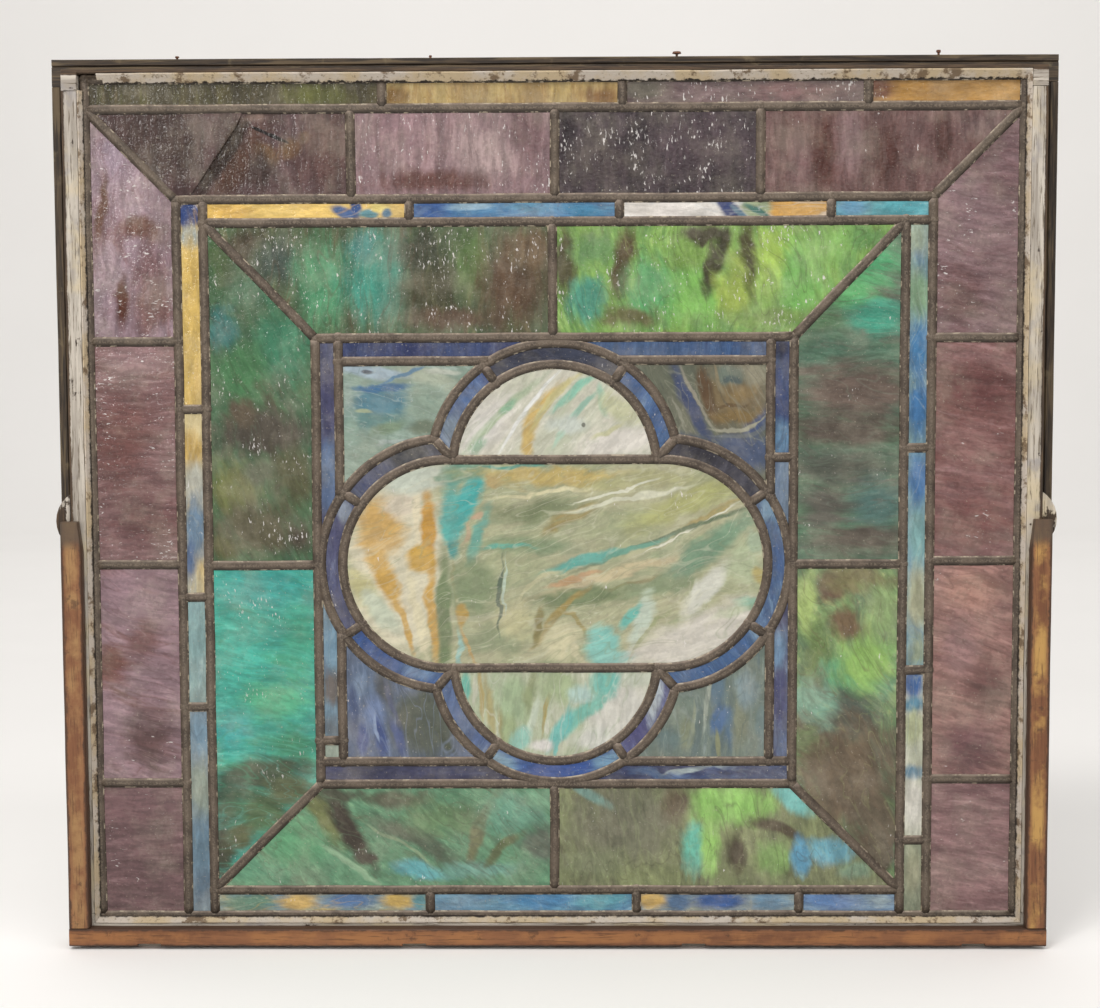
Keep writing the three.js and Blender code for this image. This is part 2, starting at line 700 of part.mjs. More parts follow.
// A rounded block on the edge of the stile at the height of the pivot
function pivotBlock(side) {
  const half = pivotBlockHeight / 2;
  const radius = (half * half + pivotBlockReach * pivotBlockReach) / (2 * pivotBlockReach);
  const angle = Math.asin(half / radius);
  const centre = pivotBlockReach - radius;
  const arc = new THREE.Shape();
  arc.absarc(centre, 0, radius, -angle, angle, false);
  const points = arc.getPoints(5).map((p) => new THREE.Vector2(p.x + sashRight + fitGap, p.y + pivotHeight));
  const solid = plate(points, backFace, frontFace);
  return side > 0 ? solid : solid.mirror([1, 0, 0]);
}

// A nail standing in the top bead, its head spread by the hammer
function topNail(i) {
  const height = nailHeights[i];
  const head = nailHeadRadii[i];
  const shank = nailShankRadius;
  const profile = outline([0, 0], [shank, 0], [shank, height * 0.45], [head, height * 0.6],
    [head * 0.85, height], [0, height]);
  const geometry = new THREE.LatheGeometry(profile, 7);
  geometry.rotateX(Math.PI / 2);
  const foot = sashHeight + topBeadOverhang + fitGap;
  geometry.translate(nailPlaces[i] * sashWidth, backFace + fitGap + beadThickness / 2, foot);
  return solidFrom(geometry);
}

// Finishes
const finishes = {
  purple: { color: 0x8a6f75, roughness: 0.25, metalness: 0 },
  olive: { color: 0x6d6a48, roughness: 0.25, metalness: 0 },
  amber: { color: 0xc9a35a, roughness: 0.25, metalness: 0 },
  ribbon: { color: 0x6f9aa0, roughness: 0.25, metalness: 0 },
  green: { color: 0x4f8f62, roughness: 0.25, metalness: 0 },
  blue: { color: 0x3d5488, roughness: 0.25, metalness: 0 },
  field: { color: 0x93a594, roughness: 0.25, metalness: 0 },
  centre: { color: 0xcfc39a, roughness: 0.25, metalness: 0 },
  lead: { color: 0x5f564c, roughness: 0.55, metalness: 0.6 },
  putty: { color: 0xc8bda4, roughness: 0.9, metalness: 0 },
  paint: { color: 0xc3bdb2, roughness: 0.75, metalness: 0 },
  varnish: { color: 0x92603a, roughness: 0.45, metalness: 0 },
  darkWood: { color: 0x4a4034, roughness: 0.65, metalness: 0 },
  block: { color: 0x8d8068, roughness: 0.8, metalness: 0 },
  iron: { color: 0x55463c, roughness: 0.7, metalness: 0.7 },
};

const part = new THREE.Group();
part.name = 'stained_glass_window';

function add(name, solid, finish) {
  const material = new THREE.MeshStandardMaterial(finishes[finish]);
  const mesh = new THREE.Mesh(geometryFrom(solid), material);
  mesh.name = name;
  part.add(mesh);
}

for (const { name, finish, solid } of glassRuns(glassInset, glassBack, glassFront)) {
  add(name, name === 'glass_purple_top_1' ? solid.subtract(glassSplit()) : solid, finish);
}
add('lead_cames', leadCames(), 'lead');
add('glazing_putty', glazingPutty(), 'putty');
add('sash_stile_left', sashStile(-1), 'paint');
add('sash_stile_right', sashStile(1), 'paint');
add('sash_rail_top', topRail(), 'darkWood');
add('sash_rail_bottom', bottomRail(), 'paint');
add('front_bead_left', frontBead(-1), 'varnish');
add('front_bead_right', frontBead(1), 'varnish');
add('front_bead_bottom', bottomBead(), 'varnish');
add('back_bead_left', backBead(-1), 'darkWood');
add('back_bead_right', backBead(1), 'darkWood');
add('back_bead_top', topBead(), 'darkWood');
add('pivot_block_left', pivotBlock(-1), 'block');
add('pivot_block_right', pivotBlock(1), 'block');
nailPlaces.forEach((_, i) => add(`top_nail_${i + 1}`, topNail(i), 'iron'));

export default part;
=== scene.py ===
import bpy
import bmesh
import math
from mathutils import Matrix, Vector, noise


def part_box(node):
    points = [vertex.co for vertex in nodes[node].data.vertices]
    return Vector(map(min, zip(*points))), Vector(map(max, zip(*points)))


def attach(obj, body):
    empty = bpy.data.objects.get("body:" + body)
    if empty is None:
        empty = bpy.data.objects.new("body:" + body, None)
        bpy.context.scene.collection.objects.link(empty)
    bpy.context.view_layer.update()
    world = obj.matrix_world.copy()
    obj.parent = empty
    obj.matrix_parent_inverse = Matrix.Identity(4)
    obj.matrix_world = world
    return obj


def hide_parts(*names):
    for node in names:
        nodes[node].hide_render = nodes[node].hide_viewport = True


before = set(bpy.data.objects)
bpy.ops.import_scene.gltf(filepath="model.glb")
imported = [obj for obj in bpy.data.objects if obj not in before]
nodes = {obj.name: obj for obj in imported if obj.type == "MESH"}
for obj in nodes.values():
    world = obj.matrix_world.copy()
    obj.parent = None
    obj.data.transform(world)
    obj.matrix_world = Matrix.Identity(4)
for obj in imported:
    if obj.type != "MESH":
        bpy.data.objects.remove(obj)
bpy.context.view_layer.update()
MM = 0.001

# Lead centre lines in millimetres, as in the solids
BORDER_X, BORDER_TOP, BORDER_BOTTOM = 451.75, 849.25, 28.75
PURPLE_TOP = 820.75
RIBBON_X, RIBBON_TOP = 365.5, 734.5
GREEN_X, GREEN_TOP, GREEN_BOTTOM = 339.5, 712.0, 54.25
SQUARE_X, SQUARE_TOP, SQUARE_BOTTOM = 232.5, 600.5, 161.0
FIELD_X, FIELD_TOP, FIELD_BOTTOM = 210.0, 578.0, 183.5
CENTRE_Z = 379.25
SIDE_LOBE_SHIFT, SIDE_LOBE_RADIUS = 105.5, 102.5
END_LOBE_SHIFT, END_LOBE_RADIUS = 95.5, 99.5
RING_WIDTH = 21.0
RING_JOINT_ANGLE = 35.0

# The four arcs of the quatrefoil: x and z of the middle, radius, and the way it faces in degrees
LOBES = {
    "right": (SIDE_LOBE_SHIFT, CENTRE_Z, SIDE_LOBE_RADIUS, 0),
    "top": (0, CENTRE_Z + END_LOBE_SHIFT, END_LOBE_RADIUS, 90),
    "left": (-SIDE_LOBE_SHIFT, CENTRE_Z, SIDE_LOBE_RADIUS, 180),
    "bottom": (0, CENTRE_Z - END_LOBE_SHIFT, END_LOBE_RADIUS, 270),
}

# Depths in millimetres, front to back, and the width of a came
LEAD_FRONT, GLASS_FRONT, GLASS_BACK, LEAD_BACK = -9.5, -7.5, -4.5, -2.5
CAME_WIDTH = 9.5

# A came is cut across every so many millimetres, or degrees where it is round
STRAIGHT_STEP, ROUND_STEP = 10, 3

# Ends of cames that lie about this near share one drop of solder
JOINT_REACH = 4

# Room between a piece of glass and the middle of its lead
PLAY = 1.2

# How far from the middle lines the blue strips are drawn before the ring cuts them
STRIP_START = 30


def joints_of(pieces, start, end):
    """Places along a run, spaced in proportion to the lengths of its pieces."""
    total = sum(pieces)
    run, places = 0, [start]
    for piece in pieces:
        run += piece
        places.append(start + (end - start) * run / total)
    return places


TOP_STRIP = joints_of([286.5, 231.8, 235.7, 149.5], -BORDER_X, BORDER_X)
PURPLE_ROW = joints_of([256, 197, 198, 252.7], -BORDER_X, BORDER_X)
PURPLE_LEFT = joints_of([223, 218, 217.3, 133.7], PURPLE_TOP, BORDER_BOTTOM)
PURPLE_RIGHT = joints_of([222, 217, 216.3, 136.7], PURPLE_TOP, BORDER_BOTTOM)
RIBBON_ROW = joints_of([199.6, 203.2, 204.1, 98], -GREEN_X, RIBBON_X)
RIBBON_LEFT = joints_of([202.6, 184.7, 108.9, 209.6], RIBBON_TOP, BORDER_BOTTOM)
RIBBON_RIGHT = joints_of([220, 218, 169.8, 75.5], GREEN_TOP, BORDER_BOTTOM)
RIBBON_FOOT = joints_of([214.5, 204.4, 160.8, 99.3], -GREEN_X, GREEN_X)
GREEN_MID_X = joints_of([338, 341], -GREEN_X, GREEN_X)[1]
GREEN_MID_Z = joints_of([333, 324], GREEN_TOP, GREEN_BOTTOM)[1]
BLUE_RIGHT_JOINT = 483.2
BLUE_LEFT_JOINT = FIELD_BOTTOM + 21


# Small helpers for shapes

def at(x, y, z):
    return Vector((x * MM, y * MM, z * MM))


def wander(place, pitch, seed=0.0):
    """A smooth drift from -1 to 1 that changes over about one pitch, in metres."""
    return noise.noise_vector(place / pitch + Vector((seed, seed * 1.7, -seed)))


def finished(name, bm, material, smooth=True):
    """Turns a bmesh into a named piece that rides on the window."""
    for face in bm.faces:
        face.smooth = smooth
    mesh = bpy.data.meshes.new(name)
    bm.to_mesh(mesh)
    bm.free()
    piece = bpy.data.objects.new(name, mesh)
    bpy.context.scene.collection.objects.link(piece)
    mesh.materials.append(material)
    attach(piece, "root")
    return piece


def crossing(a, b, growth):
    """Where the circles of two lobes cross, on the side away from the middle."""
    (ax, az, ar, _), (bx, bz, br, _) = LOBES[a], LOBES[b]
    start, end = Vector((ax, az)), Vector((bx, bz))
    span = end - start
    apart = span.length
    span.normalize()
    ra, rb = ar + growth, br + growth
    along = (apart * apart + ra * ra - rb * rb) / (2 * apart)
    aside = math.sqrt(ra * ra - along * along)
    foot = start + span * along
    normal = Vector((-span.y, span.x))
    ends = [foot + normal * aside, foot - normal * aside]
    return max(ends, key=lambda p: (p - Vector((0, CENTRE_Z))).length)


def angle_from(lobe, place):
    """The way from the middle of a lobe to a place, in degrees."""
    x, z, _, _ = LOBES[lobe]
    return math.degrees(math.atan2(place.y - z, place.x - x))


# Shader helpers

def paint(r, g, b):
    """A screen colour from 0 to 255 as the linear colour that a shader takes."""
    def linear(v):
        v /= 255
        return v / 12.92 if v <= 0.04045 else ((v + 0.055) / 1.055) ** 2.4
    return (linear(r), linear(g), linear(b), 1.0)


class Tree:
    """A short way to place and wire nodes."""

    def __init__(self, tree):
        self.tree = tree

    def put(self, kind, inputs=None, **settings):
        made = self.tree.nodes.new(kind)
        for key, value in settings.items():
            setattr(made, key, value)
        for key, value in (inputs or {}).items():
            socket = made.inputs[key]
            if isinstance(value, bpy.types.NodeSocket):
                self.tree.links.new(value, socket)
            else:
                socket.default_value = value
        return made

    def math(self, operation, a, b=0.0, c=0.0, clamp=False):
        made = self.put("ShaderNodeMath", {0: a, 1: b, 2: c}, operation=operation, use_clamp=clamp)
        return made.outputs[0]

    def vector(self, operation, a, b):
        made = self.put("ShaderNodeVectorMath", {0: a, 1: b}, operation=operation)
        return made.outputs[0]

    def scaled(self, a, factor):
        made = self.put("ShaderNodeVectorMath", {0: a, "Scale": factor}, operation="SCALE")
        return made.outputs[0]

    def noise(self, vector, scale, detail, roughness, distortion=0.0):
        return self.put("ShaderNodeTexNoise", {"Vector": vector, "Scale": scale, "Detail": detail,
                                               "Roughness": roughness, "Distortion": distortion})

    def ramp(self, value, low, high, to_low=0.0, to_high=1.0):
        made = self.put("ShaderNodeMapRange", {"Value": value, "From Min": low, "From Max": high,
                                               "To Min": to_low, "To Max": to_high},
                        interpolation_type="SMOOTHSTEP")
        return made.outputs[0]

    def mix(self, factor, a, b, blend="MIX"):
        made = self.put("ShaderNodeMix", data_type="RGBA", blend_type=blend)
        for socket, value in ((made.inputs[0], factor), (made.inputs[6], a), (made.inputs[7], b)):
            if isinstance(value, bpy.types.NodeSocket):
                self.tree.links.new(value, socket)
            else:
                socket.default_value = value
        return made.outputs[2]

    def grey(self, value):
        return self.put("ShaderNodeCombineColor", {0: value, 1: value, 2: value}).outputs[0]


def new_group(name, ins, outs):
    """A shader node group with named inputs and outputs."""
    tree = bpy.data.node_groups.new(name, "ShaderNodeTree")
    kinds = {"v": "NodeSocketVector", "f": "NodeSocketFloat", "c": "NodeSocketColor"}
    for label, kind in ins:
        tree.interface.new_socket(label, in_out="INPUT", socket_type=kinds[kind])
    for label, kind in outs:
        tree.interface.new_socket(label, in_out="OUTPUT", socket_type=kinds[kind])
    entry = tree.nodes.new("NodeGroupInput")
    leave = tree.nodes.new("NodeGroupOutput")
    return Tree(tree), entry.outputs, leave.inputs


def wire(t, source, target):
    t.tree.links.new(source, target)


def streaky_glass_group():
    """Sheets of colour drawn out into streaks and swirls."""
    t, i, o = new_group("streaky_glass", [("Vector", "v"), ("Angle", "f"), ("Stretch", "f"), ("Swirl", "f"),
                                         ("Seed", "f"), ("Ground", "c"), ("Second", "c"), ("Dark", "c"),
                                         ("Light", "c")], [("Colour", "c"), ("Streak", "f"), ("Flow", "v"),
                                                          ("Vein", "f"), ("Pale", "f")])
    shift = t.put("ShaderNodeCombineXYZ", {0: i["Seed"], 1: i["Seed"], 2: i["Seed"]}).outputs[0]
    place = t.vector("ADD", i["Vector"], t.scaled(shift, 0.731))
    turned = t.put("ShaderNodeVectorRotate", {"Vector": place, "Angle": i["Angle"]},
                   rotation_type="Y_AXIS").outputs[0]
    bend = t.noise(turned, 14.0, 1.5, 0.5).outputs["Color"]
    bend = t.scaled(t.vector("SUBTRACT", bend, (0.5, 0.5, 0.5)), i["Swirl"])
    flow = t.vector("ADD", turned, bend)
    long = t.math("DIVIDE", 1.0, i["Stretch"])
    squeeze = t.put("ShaderNodeCombineXYZ", {0: 1.0, 1: 0.4, 2: long}).outputs[0]
    flow = t.vector("MULTIPLY", flow, squeeze)
    broad = t.noise(flow, 38.0, 4.0, 0.6, 0.4).outputs["Fac"]
    middle = t.noise(t.vector("ADD", flow, (3.1, 0.2, 1.7)), 52.0, 5.0, 0.62, 0.6).outputs["Fac"]
    fine = t.noise(t.vector("ADD", flow, (7.3, 0.9, 4.1)), 150.0, 5.0, 0.65, 0.3).outputs["Fac"]
    colour = t.mix(t.ramp(broad, 0.36, 0.64), i["Ground"], i["Second"])
    colour = t.mix(t.ramp(middle, 0.53, 0.70, 0.0, 0.85), colour, i["Dark"])
    colour = t.mix(t.ramp(fine, 0.56, 0.74, 0.0, 0.6), colour, i["Light"])
    drawn = t.noise(t.vector("ADD", flow, (5.7, 0.4, 2.3)), 44.0, 2.0, 0.5, 0.9).outputs["Fac"]
    vein = t.math("ABSOLUTE", t.math("SUBTRACT", drawn, 0.45))
    wire(t, t.ramp(vein, 0.02, 0.0), o["Vein"])
    pale_vein = t.math("ABSOLUTE", t.math("SUBTRACT", drawn, 0.55))
    wire(t, t.ramp(pale_vein, 0.018, 0.0), o["Pale"])
    wire(t, colour, o["Colour"])
    wire(t, t.math("MULTIPLY_ADD", middle, 0.5, t.math("MULTIPLY", fine, 0.5)), o["Streak"])
    wire(t, flow, o["Flow"])
    return t.tree


def glass_pool_group():
    """A soft-edged pool of another colour, drawn out by the same swirl."""
    t, i, o = new_group("glass_pool", [("Vector", "v"), ("Colour", "c"), ("Pool", "c"), ("Middle", "v"),
                                       ("Reach", "v"), ("Angle", "f"), ("Bow", "f"), ("Softness", "f"),
                                       ("Drift", "f"), ("Flow", "v")], [("Colour", "c")])
    bend = t.noise(i["Vector"], 30.0, 2.0, 0.5, 0.8).outputs["Color"]
    bend = t.scaled(t.vector("SUBTRACT", bend, (0.5, 0.5, 0.5)), i["Drift"])
    place = t.vector("SUBTRACT", t.vector("ADD", i["Vector"], bend), i["Middle"])
    turned = t.put("ShaderNodeVectorRotate", {"Vector": place, "Angle": i["Angle"]},
                   rotation_type="Y_AXIS").outputs[0]
    along = t.put("ShaderNodeSeparateXYZ", {0: t.vector("DIVIDE", turned, i["Reach"])}).outputs[0]
    lift = t.math("MULTIPLY", t.math("MULTIPLY", along, along, clamp=True), i["Bow"])
    lift = t.put("ShaderNodeCombineXYZ", {0: 0.0, 1: 0.0, 2: lift}).outputs[0]
    bowed = t.vector("SUBTRACT", turned, lift)
    sized = t.vector("DIVIDE", t.vector("MULTIPLY", bowed, (1, 0, 1)), i["Reach"])
    far = t.put("ShaderNodeVectorMath", {0: sized}, operation="LENGTH").outputs["Value"]
    drawn = t.noise(i["Flow"], 95.0, 4.0, 0.65).outputs["Fac"]
    pull = t.math("MULTIPLY", t.math("SUBTRACT", drawn, 0.5), t.math("MULTIPLY", i["Softness"], 2.6))
    far = t.math("ADD", far, pull)
    low = t.math("SUBTRACT", 1.0, i["Softness"])
    high = t.math("ADD", 1.0, i["Softness"])
    mask = t.math("SUBTRACT", 1.0, t.ramp(far, low, high))
    wire(t, t.mix(mask, i["Colour"], i["Pool"]), o["Colour"])
    return t.tree


def glass_relief_group():
    """Ripples and hammered dimples of rolled sheet glass."""
    t, i, o = new_group("rolled_relief", [("Vector", "v"), ("Angle", "f"), ("Stretch", "f")],
                        [("Height", "f")])
    turned = t.put("ShaderNodeVectorRotate", {"Vector": i["Vector"], "Angle": i["Angle"]},
                   rotation_type="Y_AXIS").outputs[0]
    long = t.math("DIVIDE", 1.0, i["Stretch"])
    squeeze = t.put("ShaderNodeCombineXYZ", {0: 1.0, 1: 1.0, 2: long}).outputs[0]
    flow = t.vector("MULTIPLY", turned, squeeze)
    ripple = t.noise(flow, 160.0, 2.0, 0.5, 0.3).outputs["Fac"]
    dimple = t.noise(turned, 330.0, 1.0, 0.5).outputs["Fac"]
    wire(t, t.math("MULTIPLY_ADD", dimple, 0.45, ripple), o["Height"])
    return t.tree


def pale_flecks_group():
    """Small pale dashes painted as glints of light on the rolled surface."""
    t, i, o = new_group("pale_flecks", [("Vector", "v"), ("Colour", "c"), ("Amount", "f"), ("Seed", "f"),
                                        ("Angle", "f")], [("Colour", "c")])
    shift = t.put("ShaderNodeCombineXYZ", {0: i["Seed"], 1: 0.0, 2: i["Seed"]}).outputs[0]
    turned = t.put("ShaderNodeVectorRotate", {"Vector": i["Vector"], "Angle": i["Angle"]},
                   rotation_type="Y_AXIS").outputs[0]
    place = t.vector("ADD", turned, shift)
    dashes = t.noise(t.vector("MULTIPLY", place, (1.0, 0.5, 0.38)), 460.0, 2.0, 0.6, 0.4).outputs["Fac"]
    groups = t.noise(place, 26.0, 4.0, 0.65).outputs["Fac"]
    level = t.math("MULTIPLY_ADD", groups, 0.6, t.math("MULTIPLY", i["Amount"], 0.15))
    # Painted highlight: the pale glint colour is laid where the dashes rise above the threshold.
    mask = t.ramp(t.math("ADD", dashes, level), 1.07, 1.17, 0.0, 0.8)
    wire(t, t.mix(mask, i["Colour"], paint(214, 210, 208)), o["Colour"])
    return t.tree


def old_grime_group():
    """Dust and dirt that gather in specks and dull films."""
    t, i, o = new_group("old_grime", [("Vector", "v"), ("Colour", "c"), ("Amount", "f")],
                        [("Colour", "c"), ("Film", "f")])
    film = t.ramp(t.noise(i["Vector"], 22.0, 5.0, 0.65).outputs["Fac"], 0.42, 0.72)
    specks = t.ramp(t.noise(i["Vector"], 420.0, 2.0, 0.5).outputs["Fac"], 0.66, 0.74)
    dirt = t.math("MULTIPLY_ADD", specks, 0.6, t.math("MULTIPLY", film, 0.35))
    some = t.math("MULTIPLY", dirt, i["Amount"])
    wire(t, t.mix(some, i["Colour"], paint(176, 168, 150)), o["Colour"])
    wire(t, film, o["Film"])
    return t.tree


STREAKS = streaky_glass_group()
POOL = glass_pool_group()
RELIEF = glass_relief_group()
GRIME = old_grime_group()
FLECKS = pale_flecks_group()

# How thick the pale flecks of painted glint lie on the panes that have many of them, and on every other pane
FLECKED = {
    "glass_top_strip_3": 0.9,
    "glass_purple_top_2": 0.6,
    "glass_purple_top_3": 0.8,
    "glass_purple_left_1": 0.7,
    "glass_purple_left_2": 0.7,
    "glass_purple_right_1": 0.6,
    "glass_green_top_left": 0.75,
    "glass_green_top_right": 0.7,
    "glass_green_left_upper": 0.6,
    "glass_green_left_lower": 0.6,
}
FEW_FLECKS = 0.2

# How much of its strength a colour keeps by reflected light, in strong and in other glass
STRONG_KEEPS, OTHER_KEEPS = 0.8, 0.92


def new_material(name):
    """A material with its node tree, its shader and the place in the window's own frame."""
    material = bpy.data.materials.new(name)
    material.use_nodes = True
    t = Tree(material.node_tree)
    shader = next(n for n in material.node_tree.nodes if n.type == "BSDF_PRINCIPLED")
    place = t.put("ShaderNodeTexCoord").outputs["Object"]
    return material, t, shader, place


def use(t, group, **inputs):
    made = t.put("ShaderNodeGroup", node_tree=group)
    for key, value in inputs.items():
        socket = made.inputs[key.replace("_", " ")]
        if isinstance(value, bpy.types.NodeSocket):
            t.tree.links.new(value, socket)
        else:
            socket.default_value = value
    return made.outputs


def bumped(t, shader, height, depth):
    bump = t.put("ShaderNodeBump", {"Height": height, "Distance": depth, "Strength": 1.0})
    wire(t, bump.outputs[0], shader.inputs["Normal"])


